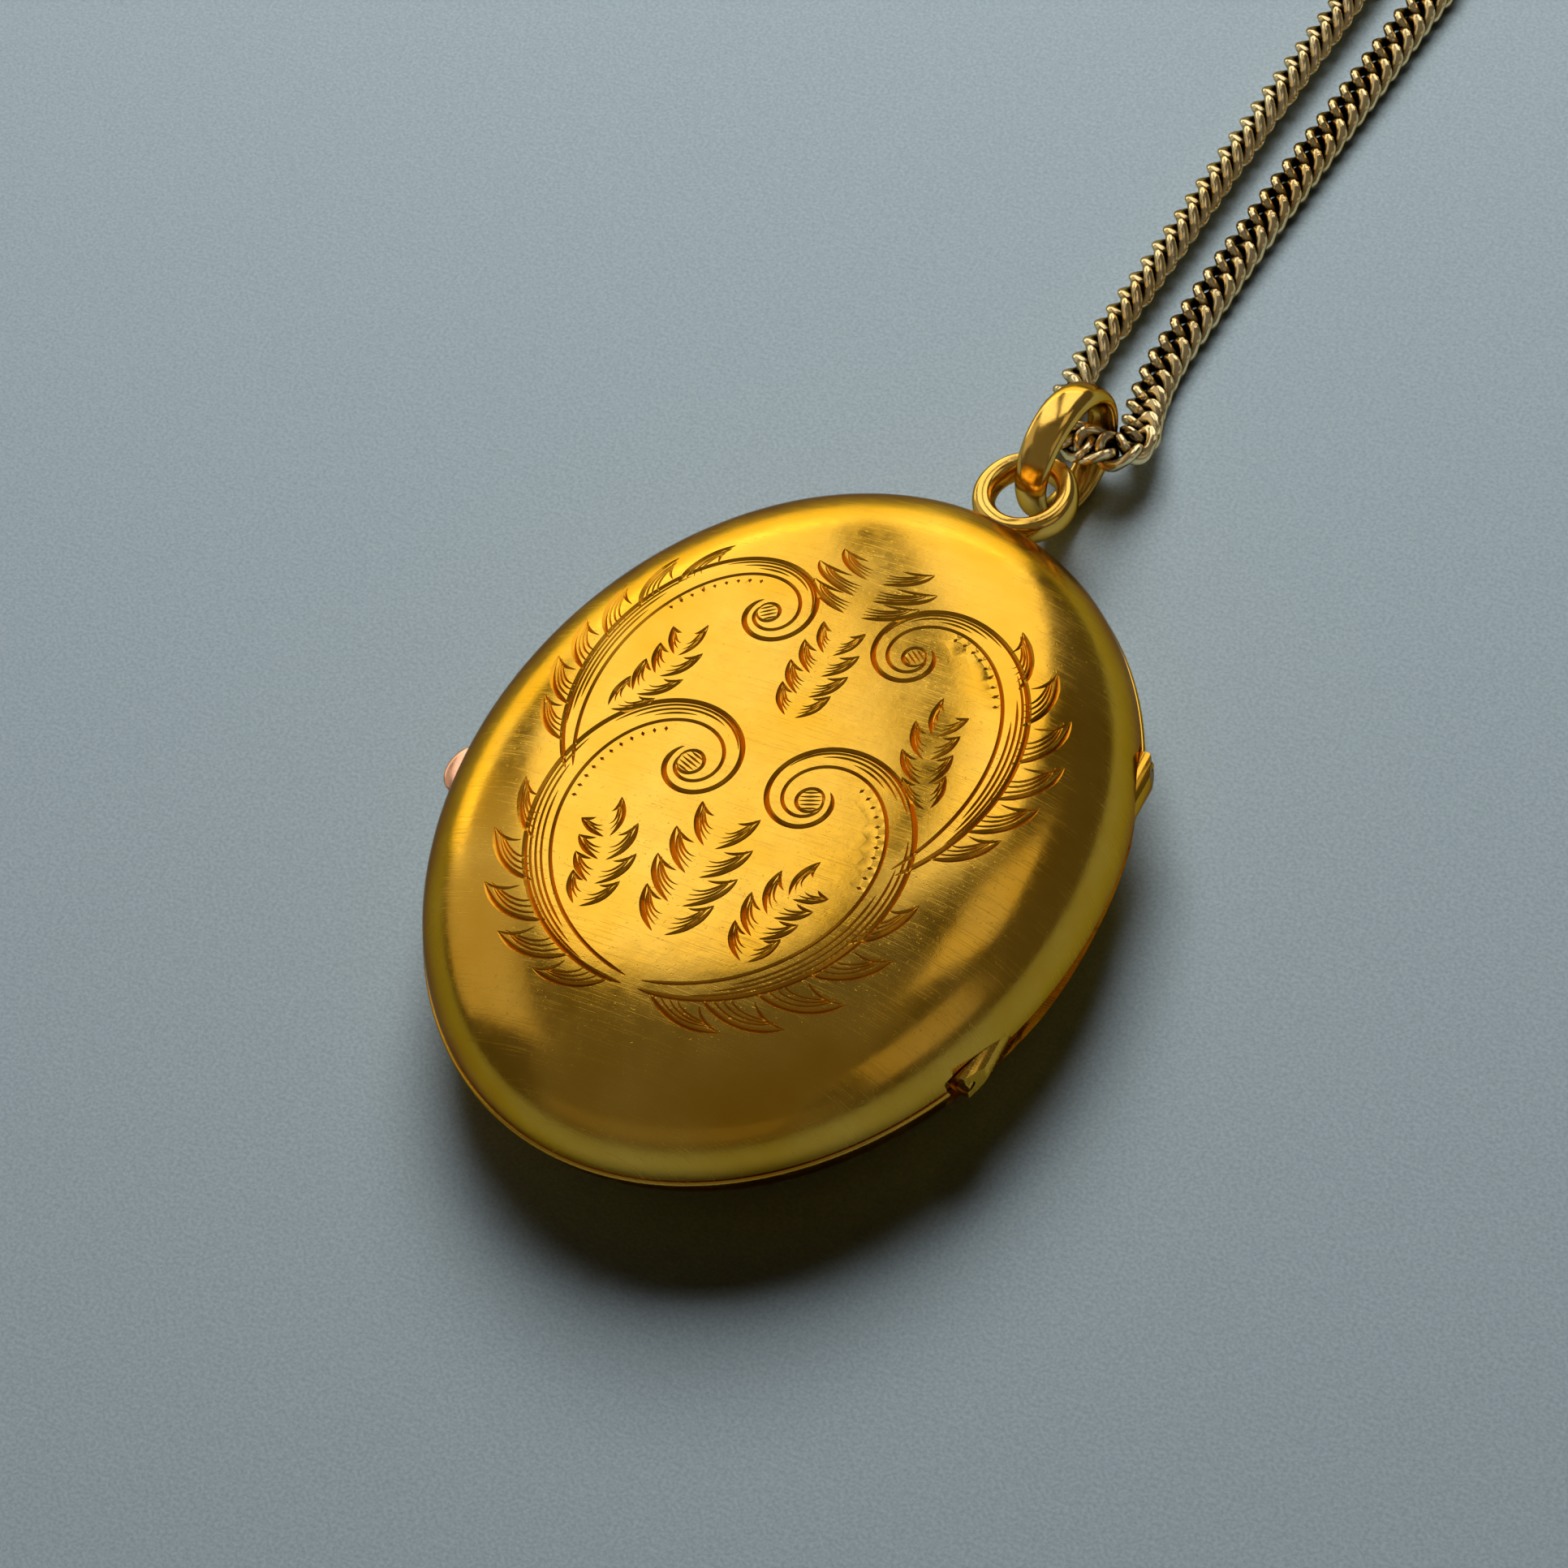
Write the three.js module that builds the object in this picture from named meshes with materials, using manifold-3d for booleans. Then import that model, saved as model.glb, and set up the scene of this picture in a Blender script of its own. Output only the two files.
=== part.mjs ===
// Oval hinged locket on a curb chain, lying on its back. Millimetres, +Z up.
// +Y is the long axis, towards the hanging ring. +X is the hinge side. The origin is the
// middle of the small flat on the back cover, where the locket rests.
import * as THREE from 'three';
import { mergeVertices } from 'three/addons/utils/BufferGeometryUtils.js';
import Module from 'manifold-3d';

const wasm = await Module();
wasm.setup();

// Oval case
const HALF_WIDTH = 15.25;
const HALF_LENGTH = 18.6;
const SEAM_Z = 4.4;
const FRONT_HEIGHT = 5.2;
const SHOULDER_POWER = 4.6;
const SHEET = 0.45;
const SEAM_GAP = 0.08;
const FIT_GAP = 0.04;
const OVAL_SEGMENTS = 48;
const DOME_STEPS = 9;
const RIM_BEAD = 0.12;
const RIM_BEAD_HEIGHT = 0.26;

// Inside each half: a pan with a ledge, and what the pan holds, by depth below the ledge
const BACK_LEDGE_Z = SEAM_Z - 0.6;
const FRONT_LEDGE_Z = SEAM_Z + 0.87;
const PAN_SHEET = 0.25;
const LEDGE_INSET = 0.78;
const PAN_WALL_INSET = 3.55;
const PAN_FLOOR_DEPTH = 0.7;
const SNAP_RIM_INSET = 0.6;
const SNAP_RIM_WALL = 0.3;
const SNAP_RIM_RISE = 0.8;
const FRAME_OUTER_INSET = 3.2;
const FRAME_INNER_INSET = 4.75;
const FRAME_HEIGHT = 0.37;
const COLLAR_WALL = 0.24;
const COLLAR_DEPTH = 0.6;
const LAYER_INSET = 4.15;
const WINDOW_DEPTHS = [0.02, 0.29];
const PAPER_DEPTHS = [0.32, 0.44];
const CARD_DEPTHS = [0.47, 0.67];

// Hinge, a straight barrel let into the side of the oval
const HINGE_X = 13.6;
const HINGE_HALF_LENGTH = 9.2;
const KNUCKLE_COUNT = 5;
const KNUCKLE_RADIUS = 0.72;
const PIN_RADIUS = 0.3;
const RUNNING_GAP = 0.06;
const GUTTER_INNER = 0.8;
const LIP_OUTER = 1.05;
const GUTTER_OUTER = 1.35;
const CLEARANCE_RADIUS = 1.42;
const OPEN_ANGLE = 110;
const WEB_ANGLES = [56, 68];
const POCKET_WALL = 0.3;
const POCKET_END_ANGLE = -126;
const LIP_ANGLE = 12;
const GUTTER_END_ANGLE = 170;
const WEB_REACH = 4;
const SWING_STEP = 11;
const SWING_STATIONS = 14;
const PAN_ROOM_ANGLES = { back: [-66, 69, 244], front: [-69, 69, 290] };
const LIP_OVERHANG = 0.45;
const SIDE_SEGMENTS = 20;

// Thumb piece and the nail nick under it
const THUMB_Y = -2.2;

// Hanging ring on its foot, and the bail through it
const RING = new THREE.Vector3(1.45, 21.25, SEAM_Z - 0.62);
const RING_RADIUS = 1.95;
const RING_WIRE = 0.475;
const RING_WIRE_TALL = 0.62;
const BAIL = new THREE.Vector3(1.82, 24.7, 3.25);
const BAIL_YAW = THREE.MathUtils.degToRad(6.6);
const BAIL_HALF_LONG = 3.05;
const BAIL_HALF_TALL = 2.72;

// Chain: two strands from the bail, each wound into one layer of a coil
const CHAIN = 1.5;
const CHAIN_REST_Z = CHAIN / 2 + 0.02;
const COIL = new THREE.Vector3(-10.05, 71.5, 0);
const COIL_OUTER = 12.2;
const COIL_INNER = 5;
const COIL_LAYERS_Z = { left: CHAIN_REST_Z, right: CHAIN_REST_Z + 1.58 };
const CHAIN_JOINT_RADIUS = 6.6;
const CHAIN_GAP = 0.3;
const CHAIN_SIDES = 8;
const CHAIN_STEP = 3.6;

// Bolt ring clasp, in the middle of the coil
const CLASP_Z = 1.2;
const CLASP_RADIUS = 2;
const CLASP_TUBE = 0.55;
const CLASP_BORE = 0.36;
const CLASP_BOLT = 0.28;
const CLASP_GAP_ANGLES = [197, 247];
const BOLT_ANGLES = [189, 292];
const SPRING_ANGLES = [295, 349];
const KNOB_ANGLE = 270;
const SLOT_ANGLES = [262, 328];
const END_RING_RADIUS = 1.3;
const END_RING_WIRE = 0.22;
const COLLAR_ANGLE = 42;

const UP = new THREE.Vector3(0, 0, 1);

const FINISHES = {
  gold: { color: 0xd9a11e, roughness: 0.25, metalness: 1 },
  roseGold: { color: 0xe0a888, roughness: 0.3, metalness: 1 },
  chainGold: { color: 0xb08d3f, roughness: 0.3, metalness: 1 },
  steel: { color: 0x8c8c8c, roughness: 0.35, metalness: 1 },
  window: { color: 0xe8eef0, roughness: 0.05, metalness: 0, transparent: true, opacity: 0.35 },
  paper: { color: 0xe6dcc3, roughness: 0.9, metalness: 0 },
  card: { color: 0x8a6f4d, roughness: 0.95, metalness: 0 },
};

// Solids and cuts

function toSolid(geometry) {
  const bare = geometry.clone();
  bare.deleteAttribute('normal');
  bare.deleteAttribute('uv');
  const merged = mergeVertices(bare, 1e-5);
  const mesh = new wasm.Mesh({
    numProp: 3,
    vertProperties: new Float32Array(merged.attributes.position.array),
    triVerts: new Uint32Array(merged.index.array),
  });
  return new wasm.Manifold(mesh);
}

function toGeometry(solid) {
  const mesh = solid.getMesh();
  const geometry = new THREE.BufferGeometry();
  geometry.setAttribute('position', new THREE.BufferAttribute(new Float32Array(mesh.vertProperties), 3));
  geometry.setIndex(new THREE.BufferAttribute(new Uint32Array(mesh.triVerts), 1));
  return geometry;
}

function cut(geometry, ...tools) {
  return toGeometry(tools.reduce((solid, tool) => solid.subtract(toSolid(tool)), toSolid(geometry)));
}

function join(geometry, ...others) {
  return toGeometry(others.reduce((solid, other) => solid.add(toSolid(other)), toSolid(geometry)));
}

function common(geometry, other) {
  return toGeometry(toSolid(geometry).intersect(toSolid(other)));
}

// The biggest body of a shape, without the slivers that a cut can leave.
function biggest(geometry) {
  const bodies = toSolid(geometry).decompose();
  return toGeometry(bodies.reduce((big, body) => (body.volume() > big.volume() ? body : big)));
}

// Shapes

// Turns a profile of { inset, reach, z } points about +Z, stretched to the oval: inset is the
// distance inside the case's outline, and reach runs from 0 on the axis to 1 at that inset.
function ovalTurned(profile) {
  const outline = profile.map((point) => new THREE.Vector2(point.reach * HALF_WIDTH, point.z));
  const geometry = new THREE.LatheGeometry(outline, OVAL_SEGMENTS);
  const position = geometry.attributes.position;
  for (let index = 0; index < position.count; index += 1) {
    const point = profile[index % profile.length];
    const step = Math.floor(index / profile.length) % OVAL_SEGMENTS;
    const angle = (step / OVAL_SEGMENTS) * 2 * Math.PI;
    const x = (HALF_WIDTH - point.inset) * point.reach * Math.cos(angle);
    const y = (HALF_LENGTH - point.inset) * point.reach * Math.sin(angle);
    position.setXYZ(index, x, y, point.z);
  }
  return geometry;
}

function rim(inset, z) {
  return { inset, reach: 1, z };
}

function onAxis(z) {
  return { inset: 0, reach: 0, z };
}

function ovalPlate(inset, lowZ, highZ) {
  return ovalTurned([onAxis(lowZ), rim(inset, lowZ), rim(inset, highZ), onAxis(highZ)]);
}

// Cushion dome, from its rim to its crown: nearly flat on top with steep rounded sides.
function domeCurve(inset, rimZ, crownZ, flatSteps = 0) {
  const flatRise = Math.cos((flatSteps / DOME_STEPS) * (Math.PI / 2));
  const points = [];
  for (let step = DOME_STEPS; step >= 0; step -= 1) {
    const angle = (step / DOME_STEPS) * (Math.PI / 2);
    const rise = Math.min(1, Math.cos(angle) / flatRise);
    const reach = Math.sin(angle) ** (2 / SHOULDER_POWER);
    points.push({ inset, reach, z: rimZ + rise * (crownZ - rimZ) });
  }
  return points;
}

function prismAlongY(shape, halfLength) {
  const geometry = new THREE.ExtrudeGeometry(shape, { depth: 2 * halfLength, bevelEnabled: false });
  return geometry.rotateX(Math.PI / 2).translate(0, halfLength, 0);
}

// A closed body through sections that have the same number of points.
function loft(sections) {
  const count = sections[0].length;
  const last = sections.length - 1;
  const index = [];
  for (let section = 0; section < last; section += 1) {
    for (let point = 0; point < count; point += 1) {
      const here = section * count + point;
      const beside = section * count + ((point + 1) % count);
      index.push(here, here + count, beside, beside, here + count, beside + count);
    }
  }
  for (let point = 1; point < count - 1; point += 1) {
    index.push(0, point, point + 1);
    index.push(last * count, last * count + point + 1, last * count + point);
  }
  return new THREE.BufferGeometry().setFromPoints(sections.flat()).setIndex(index);
}

function rodAlongY(radius, lowY, highY) {
  const geometry = new THREE.CylinderGeometry(radius, radius, highY - lowY, SIDE_SEGMENTS);
  return geometry.translate(HINGE_X, (lowY + highY) / 2, SEAM_Z);
}

function ellipsoid(x, y, z, halfX, halfY, halfZ) {
  return new THREE.SphereGeometry(1, 20, 12).scale(halfX, halfY, halfZ).translate(x, y, z);
}

class ArcPath extends THREE.Curve {
  constructor(centre, radius, fromDegrees, toDegrees) {
    super();
    this.centre = centre;
    this.radius = radius;
    this.from = THREE.MathUtils.degToRad(fromDegrees);
    this.to = THREE.MathUtils.degToRad(toDegrees);
  }

  getPoint(t, target = new THREE.Vector3()) {
    const angle = THREE.MathUtils.lerp(this.from, this.to, t);
    return target.set(Math.cos(angle), Math.sin(angle), 0).multiplyScalar(this.radius).add(this.centre);
  }
}

function roundSection(radius, sides) {
  const points = [];
  for (let side = 0; side < sides; side += 1) {
    const angle = ((side + 0.5) / sides) * 2 * Math.PI;
    points.push(new THREE.Vector2(radius * Math.cos(angle), radius * Math.sin(angle)));
  }
  return new THREE.Shape(points);
}

function tubeAlong(path, radius, sides, steps) {
  return new THREE.ExtrudeGeometry(roundSection(radius, sides), { steps, extrudePath: path });
}

// Case halves

function frontDome(inset) {
  return domeCurve(inset, SEAM_Z + SEAM_GAP / 2, SEAM_Z + FRONT_HEIGHT - inset);
}

function backDome(inset) {
  return domeCurve(inset, SEAM_Z - SEAM_GAP / 2, inset, 1);
}

function frontFilled(inset) {
  return ovalTurned([onAxis(SEAM_Z + SEAM_GAP / 2), ...frontDome(inset)]);
}

function backFilled(inset) {
  return ovalTurned([...backDome(inset).reverse(), onAxis(SEAM_Z - SEAM_GAP / 2)]);
}

// Distance from the hinge axis to the front dome along a ray at an angle above the seam.
function domeReach(y, degrees, grow) {
  const angle = THREE.MathUtils.degToRad(degrees);
  let [near, far] = [0, 8];
  for (let halving = 0; halving < 30; halving += 1) {
    const middle = (near + far) / 2;
    const x = HINGE_X + middle * Math.cos(angle);
    const rise = (middle * Math.sin(angle)) / (FRONT_HEIGHT + grow);
    const reach = Math.hypot(x / (HALF_WIDTH + grow), y / (HALF_LENGTH + grow));
    const inside = reach ** SHOULDER_POWER + rise ** 2 < 1;
    [near, far] = inside ? [middle, far] : [near, middle];
  }
  return near;
}

// All that the front dome's edge passes through below the seam as it opens, around the barrel.
function swingRoom(grow, lastAngle = -OPEN_ANGLE - 2) {
  const halfLength = HINGE_HALF_LENGTH + 0.3;
  const edgeAngles = [0, 100];
  const angles = [];
  for (let angle = lastAngle; angle < SWING_STEP; angle += SWING_STEP) {
    angles.unshift(angle);
  }
  const sections = [];
  for (let station = 0; station <= SWING_STATIONS; station += 1) {
    const y = halfLength * (1 - (2 * station) / SWING_STATIONS);
    const section = [new THREE.Vector3(HINGE_X, y, SEAM_Z)];
    for (const angle of angles) {
      const lowest = Math.max(edgeAngles[0], angle);
      const highest = Math.max(lowest, Math.min(edgeAngles[1], angle + OPEN_ANGLE));
      const swept = [0, 0.25, 0.5, 0.75, 1].map((share) => {
        return domeReach(y, THREE.MathUtils.lerp(lowest, highest, share), grow);
      });
      const point = hingePoint(Math.max(0.2, ...swept), angle);
      section.push(new THREE.Vector3(point.x, y, point.y));
    }
    sections.push(section);
  }
  return cut(loft(sections), barrelRoom(LIP_OUTER + 0.01));
}

function barrelRoom(radius) {
  return rodAlongY(radius, -HINGE_HALF_LENGTH - 0.4, HINGE_HALF_LENGTH + 0.4);
}

// The room that the hinge, its webs and its pocket need inside a pan.
function panHingeRoom([lowAngle, highAngle, pocketAngle]) {
  const [low, high, pocket] = [lowAngle, highAngle, pocketAngle].map(THREE.MathUtils.degToRad);
  const reach = 4.5;
  const pocketRadius = 2.5;
  const shape = new THREE.Shape([hingePoint(reach, lowAngle)]);
  shape.lineTo(HINGE_X + reach, SEAM_Z - reach);
  shape.lineTo(HINGE_X + reach, SEAM_Z + reach);
  shape.lineTo(...hingePoint(reach, highAngle));
  shape.absarc(HINGE_X, SEAM_Z, CLEARANCE_RADIUS, high, pocket, false);
  shape.absarc(HINGE_X, SEAM_Z, pocketRadius, pocket, low + 2 * Math.PI, false);
  return prismAlongY(shape, HINGE_HALF_LENGTH + 0.3);
}

function nailNick() {
  return ellipsoid(-HALF_WIDTH - 0.1, THUMB_Y, SEAM_Z, 0.36, 2, 0.3);
}

function frontCover() {
  const shell = ovalTurned([...frontDome(SHEET).reverse(), ...frontDome(0)]);
  return cut(shell, barrelRoom(LIP_OUTER + RUNNING_GAP), nailNick());
}

function backCover() {
  const beadFoot = SEAM_Z - SEAM_GAP / 2 - RIM_BEAD_HEIGHT;
  const wall = backDome(0).reverse();
  const beadCrown = [rim(-RIM_BEAD, beadFoot + RIM_BEAD), rim(-RIM_BEAD, SEAM_Z - SEAM_GAP / 2)];
  wall.splice(-1, 1, rim(0.01, beadFoot), ...beadCrown);
  const shell = ovalTurned([...wall, ...backDome(SHEET)]);
  return cut(shell, swingRoom(RUNNING_GAP), barrelRoom(CLEARANCE_RADIUS), nailNick());
}

// Depth 0 is the ledge's face, and depth grows into the half's own dome.
function halfTurned(half, profile) {
  const points = profile.map(({ inset, reach, depth }) => {
    const z = half === 'back' ? BACK_LEDGE_Z - depth : FRONT_LEDGE_Z + depth;
    return { inset, reach, z };
  });
  return ovalTurned(half === 'back' ? points : points.reverse());
}

function at(inset, depth) {
  return { inset, reach: 1, depth };
}

function centreAt(depth) {
  return { inset: 0, reach: 0, depth };
}

function layer(half, [nearDepth, farDepth]) {
  const farFace = [centreAt(farDepth), at(LAYER_INSET, farDepth)];
  const nearFace = [at(LAYER_INSET, nearDepth), centreAt(nearDepth)];
  return halfTurned(half, [...farFace, ...nearFace]);
}

function snapRim() {
  const outer = SNAP_RIM_INSET;
  const inner = SNAP_RIM_INSET + SNAP_RIM_WALL;
  const foot = BACK_LEDGE_Z - SEAM_Z;
  return [at(outer, 0), at(outer, foot - SNAP_RIM_RISE), at(inner, foot - SNAP_RIM_RISE), at(inner, 0)];
}

function pan(half) {
  const floor = PAN_FLOOR_DEPTH;
  const ledge = half === 'back' ? snapRim() : [at(LEDGE_INSET, 0)];
  const profile = [
    centreAt(floor + PAN_SHEET),
    at(PAN_WALL_INSET, floor + PAN_SHEET),
    at(PAN_WALL_INSET, PAN_SHEET),
    at(LEDGE_INSET, PAN_SHEET),
    ...ledge,
    at(PAN_WALL_INSET + PAN_SHEET, 0),
    at(PAN_WALL_INSET + PAN_SHEET, floor),
    centreAt(floor),
  ];
  return cut(halfTurned(half, profile), panHingeRoom(PAN_ROOM_ANGLES[half]));
}

// Pull-out frame: a flange over the ledge and a collar down into the pan.
function pictureFrame(half) {
  const collarOuter = PAN_WALL_INSET + PAN_SHEET + FIT_GAP;
  const collarInner = collarOuter + COLLAR_WALL;
  const flangeFoot = -0.03;
  const crown = -FRAME_HEIGHT - 0.03;
  const middle = (FRAME_OUTER_INSET + FRAME_INNER_INSET) / 2;
  const profile = [
    at(collarInner, COLLAR_DEPTH),
    at(collarOuter, COLLAR_DEPTH),
    at(collarOuter, flangeFoot),
    at(FRAME_OUTER_INSET, flangeFoot),
    at(FRAME_OUTER_INSET + 0.12, crown * 0.65),
    at(middle - 0.3, crown),
    at(middle + 0.3, crown * 0.9),
    at(FRAME_INNER_INSET, flangeFoot - 0.05),
    at(FRAME_INNER_INSET, flangeFoot),
    at(collarInner, flangeFoot),
    at(collarInner, COLLAR_DEPTH),
  ];
  return halfTurned(half, profile);
}

// Hinge

function hingePoint(radius, degrees) {
  const angle = THREE.MathUtils.degToRad(degrees);
  return new THREE.Vector2(HINGE_X + radius * Math.cos(angle), SEAM_Z + radius * Math.sin(angle));
}

function hingeArc(shape, radius, fromDegrees, toDegrees) {
  const clockwise = toDegrees < fromDegrees;
  const [from, to] = [fromDegrees, toDegrees].map(THREE.MathUtils.degToRad);
  shape.absarc(HINGE_X, SEAM_Z, radius, from, to, clockwise);
}

// Gutter under the barrel, thinned to a lip where the front half swings past, and behind it
// the wall of the pocket that the front half's edge opens into.
function bearerBack() {
  const shape = new THREE.Shape([hingePoint(GUTTER_INNER, -LIP_ANGLE)]);
  hingeArc(shape, GUTTER_INNER, -LIP_ANGLE, -GUTTER_END_ANGLE);
  hingeArc(shape, GUTTER_OUTER, -GUTTER_END_ANGLE, -LIP_ANGLE);
  const gutter = prismAlongY(shape, HINGE_HALF_LENGTH + 0.2);
  const around = swingRoom(RUNNING_GAP + POCKET_WALL, POCKET_END_ANGLE);
  const pocket = common(cut(around, barrelRoom(GUTTER_OUTER - 0.1)), backFilled(SHEET + FIT_GAP));
  const body = cut(join(gutter, pocket), swingRoom(RUNNING_GAP));
  const lipRoom = ovalPlate(-LIP_OVERHANG, SEAM_Z - LIP_OUTER, SEAM_Z);
  return biggest(common(body, join(backFilled(0.02), lipRoom)));
}

// Gutter behind the barrel, with a web that passes outside the back half's lip to the cover.
function bearerFront() {
  const lipPass = LIP_OUTER + RUNNING_GAP;
  const [webLow, webHigh] = WEB_ANGLES;
  const gutterStart = OPEN_ANGLE + 2;
  const shape = new THREE.Shape([hingePoint(lipPass, webLow)]);
  shape.lineTo(...hingePoint(WEB_REACH, webLow));
  shape.lineTo(...hingePoint(WEB_REACH, webHigh));
  hingeArc(shape, GUTTER_OUTER, webHigh, GUTTER_END_ANGLE);
  hingeArc(shape, GUTTER_INNER, GUTTER_END_ANGLE, gutterStart);
  hingeArc(shape, lipPass, gutterStart, webLow);
  return common(prismAlongY(shape, HINGE_HALF_LENGTH + 0.2), frontFilled(SHEET + FIT_GAP));
}

function knuckle(number) {
  const pitch = (2 * HINGE_HALF_LENGTH) / KNUCKLE_COUNT;
  const lowY = -HINGE_HALF_LENGTH + number * pitch + FIT_GAP;
  const highY = lowY + pitch - 2 * FIT_GAP;
  const tube = cut(
    rodAlongY(KNUCKLE_RADIUS, lowY, highY),
    rodAlongY(PIN_RADIUS + RUNNING_GAP, lowY - 1, highY + 1),
  );
  return common(tube, ovalPlate(-LIP_OVERHANG, 0, 2 * SEAM_Z));
}

function hingePin() {
  return rodAlongY(PIN_RADIUS, -HINGE_HALF_LENGTH + 0.1, HINGE_HALF_LENGTH - 0.1);
}

function thumbPiece() {
  const lip = ellipsoid(-HALF_WIDTH + 0.15, THUMB_Y, SEAM_Z + 0.33, 0.95, 1.35, 0.27);
  return cut(lip, frontFilled(-FIT_GAP));
}

// Hanging ring, its foot and the bail

function ringBody(grow) {
  const ring = new THREE.TorusGeometry(RING_RADIUS, RING_WIRE + grow, 10, 28);
  return ring.scale(1, 1, (RING_WIRE_TALL + grow) / (RING_WIRE + grow)).translate(...RING);
}

function ringFoot() {
  const saddle = ellipsoid(RING.x, HALF_LENGTH - 0.25, RING.z - 0.08, 2.1, 0.85, 0.56);
  return cut(saddle, backFilled(-RIM_BEAD - FIT_GAP), ringBody(FIT_GAP));
}

// Loop of tapered D wire: turn 0 is the far end, and a quarter turn is the top.
function bail() {
  const rounds = 10;
  const turns = 36;
  const along = new THREE.Vector3(Math.sin(BAIL_YAW), Math.cos(BAIL_YAW), 0);
  const side = new THREE.Vector3().crossVectors(along, UP);
  const geometry = new THREE.TorusGeometry(1, 0.2, rounds, turns);
  const position = geometry.attributes.position;
  for (let index = 0; index < position.count; index += 1) {
    const turn = ((index % (turns + 1)) % turns) * ((2 * Math.PI) / turns);
    const round = (Math.floor(index / (turns + 1)) % rounds) * ((2 * Math.PI) / rounds);
    const top = Math.max(0, Math.sin(turn));
    const halfWidth = 0.8 + 0.15 * top;
    const halfThick = (0.42 + 0.18 * top) * (Math.cos(round) < 0 ? 0.8 : 1);
    const outward = new THREE.Vector2(Math.cos(turn) * BAIL_HALF_TALL, Math.sin(turn) * BAIL_HALF_LONG);
    outward.normalize();
    const reach = Math.cos(turn) * BAIL_HALF_LONG + outward.x * halfThick * Math.cos(round);
    const rise = Math.sin(turn) * BAIL_HALF_TALL + outward.y * halfThick * Math.cos(round);
    const point = BAIL.clone().addScaledVector(along, reach).addScaledVector(UP, rise);
    point.addScaledVector(side, halfWidth * Math.sin(round));
    position.setXYZ(index, point.x, point.y, point.z);
  }
  return geometry;
}

// Chain

function points(list) {
  return list.map((xyz) => new THREE.Vector3(...xyz));
}

const CHAIN_ROUTES = {
  left: points([
    [1.85, 26.05, 2.5], [1.1, 26.05, 2.45], [0.25, 26.6, 2.3], [-0.25, 27.6, 1.95], [-0.6, 29, 1.35],
    [-0.8, 30.6, 0.9], [-0.8, 33, 0.77], [-0.5, 37, 0.77], [-0.2, 41, 0.77], [0.05, 45, 0.77],
    [0.35, 49, 0.77], [0.7, 53, 0.77], [1.1, 57.5, 0.77], [1.3, 61, 0.77], [1.35, 64, 0.77],
    [1.35, 67, 0.77], [1.35, 71.5, 0.77],
  ]),
  right: points([
    [2.15, 26.05, 2.5], [3, 26.05, 2.42], [3.8, 26.5, 2.25], [3.95, 27.5, 1.9], [3.4, 29, 1.3],
    [2.9, 30.7, 0.88], [2.65, 33, 0.77], [2.85, 37, 0.77], [3.1, 41, 0.77], [3.45, 45, 0.77],
    [3.85, 49, 0.77], [4.25, 53, 0.77], [4.65, 57.5, 0.77], [4.95, 60.5, 0.82], [4.7, 63.5, 1.4],
    [3.9, 66, 2.1], [2.5, 68.7, 2.35], [1.35, 71.5, 2.35],
  ]),
};

// Everything within reach of the bail's pivot swings with the bail.
function bailPivotDrum(radius) {
  const drum = new THREE.CylinderGeometry(radius, radius, 24, 32);
  const pivot = new THREE.Vector3(Math.sin(BAIL_YAW), Math.cos(BAIL_YAW), 0);
  pivot.multiplyScalar(RING_RADIUS).add(RING);
  return drum.rotateZ(Math.PI / 2 - BAIL_YAW).translate(...pivot);
}

function chainTube(side) {
  const path = new THREE.CatmullRomCurve3(CHAIN_ROUTES[side]);
  const steps = Math.round(path.getLength() / CHAIN_STEP) * 2;
  return tubeAlong(path, CHAIN / 2, CHAIN_SIDES, steps);
}

function chainEye(side) {
  const path = new THREE.CatmullRomCurve3(CHAIN_ROUTES[side].slice(0, 7));
  const tube = tubeAlong(path, CHAIN / 2, CHAIN_SIDES, 12);
  return common(tube, bailPivotDrum(CHAIN_JOINT_RADIUS));
}

function coilLayer(side, grow = 0) {
  const half = CHAIN / 2 + grow;
  const z = COIL_LAYERS_Z[side];
  const profile = [
    [COIL_INNER - grow, z - half], [COIL_OUTER + grow, z - half], [COIL_OUTER + grow, z + half],
    [COIL_INNER - grow, z + half], [COIL_INNER - grow, z - half],
  ];
  const lathe = new THREE.LatheGeometry(profile.map(([r, h]) => new THREE.Vector2(r, h)), 48);
  return lathe.rotateX(Math.PI / 2).translate(COIL.x, COIL.y, COIL.z);
}

function chainStrand(side) {
  const layers = ['left', 'right'].map((name) => coilLayer(name, CHAIN_GAP));
  return cut(chainTube(side), bailPivotDrum(CHAIN_JOINT_RADIUS + CHAIN_GAP), ...layers);
}

// Clasp

function claspArc(radius, tube, [from, to], sides = 10) {
  const centre = new THREE.Vector3(COIL.x, COIL.y, CLASP_Z);
  const steps = Math.ceil((to - from) / 15);
  return tubeAlong(new ArcPath(centre, radius, from, to), tube, sides, steps);
}

function claspPlace(geometry, degrees) {
  return geometry.rotateZ(THREE.MathUtils.degToRad(degrees)).translate(COIL.x, COIL.y, 0);
}

function claspBody() {
  const [gapStart, gapEnd] = CLASP_GAP_ANGLES;
  const bore = [gapEnd - 8, gapStart + 368];
  const body = claspArc(CLASP_RADIUS, CLASP_TUBE, [gapEnd, gapStart + 360]);
  const slot = claspArc(CLASP_RADIUS + 0.45, 0.2, SLOT_ANGLES, 8);
  return cut(body, claspArc(CLASP_RADIUS, CLASP_BORE, bore), slot);
}

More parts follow.
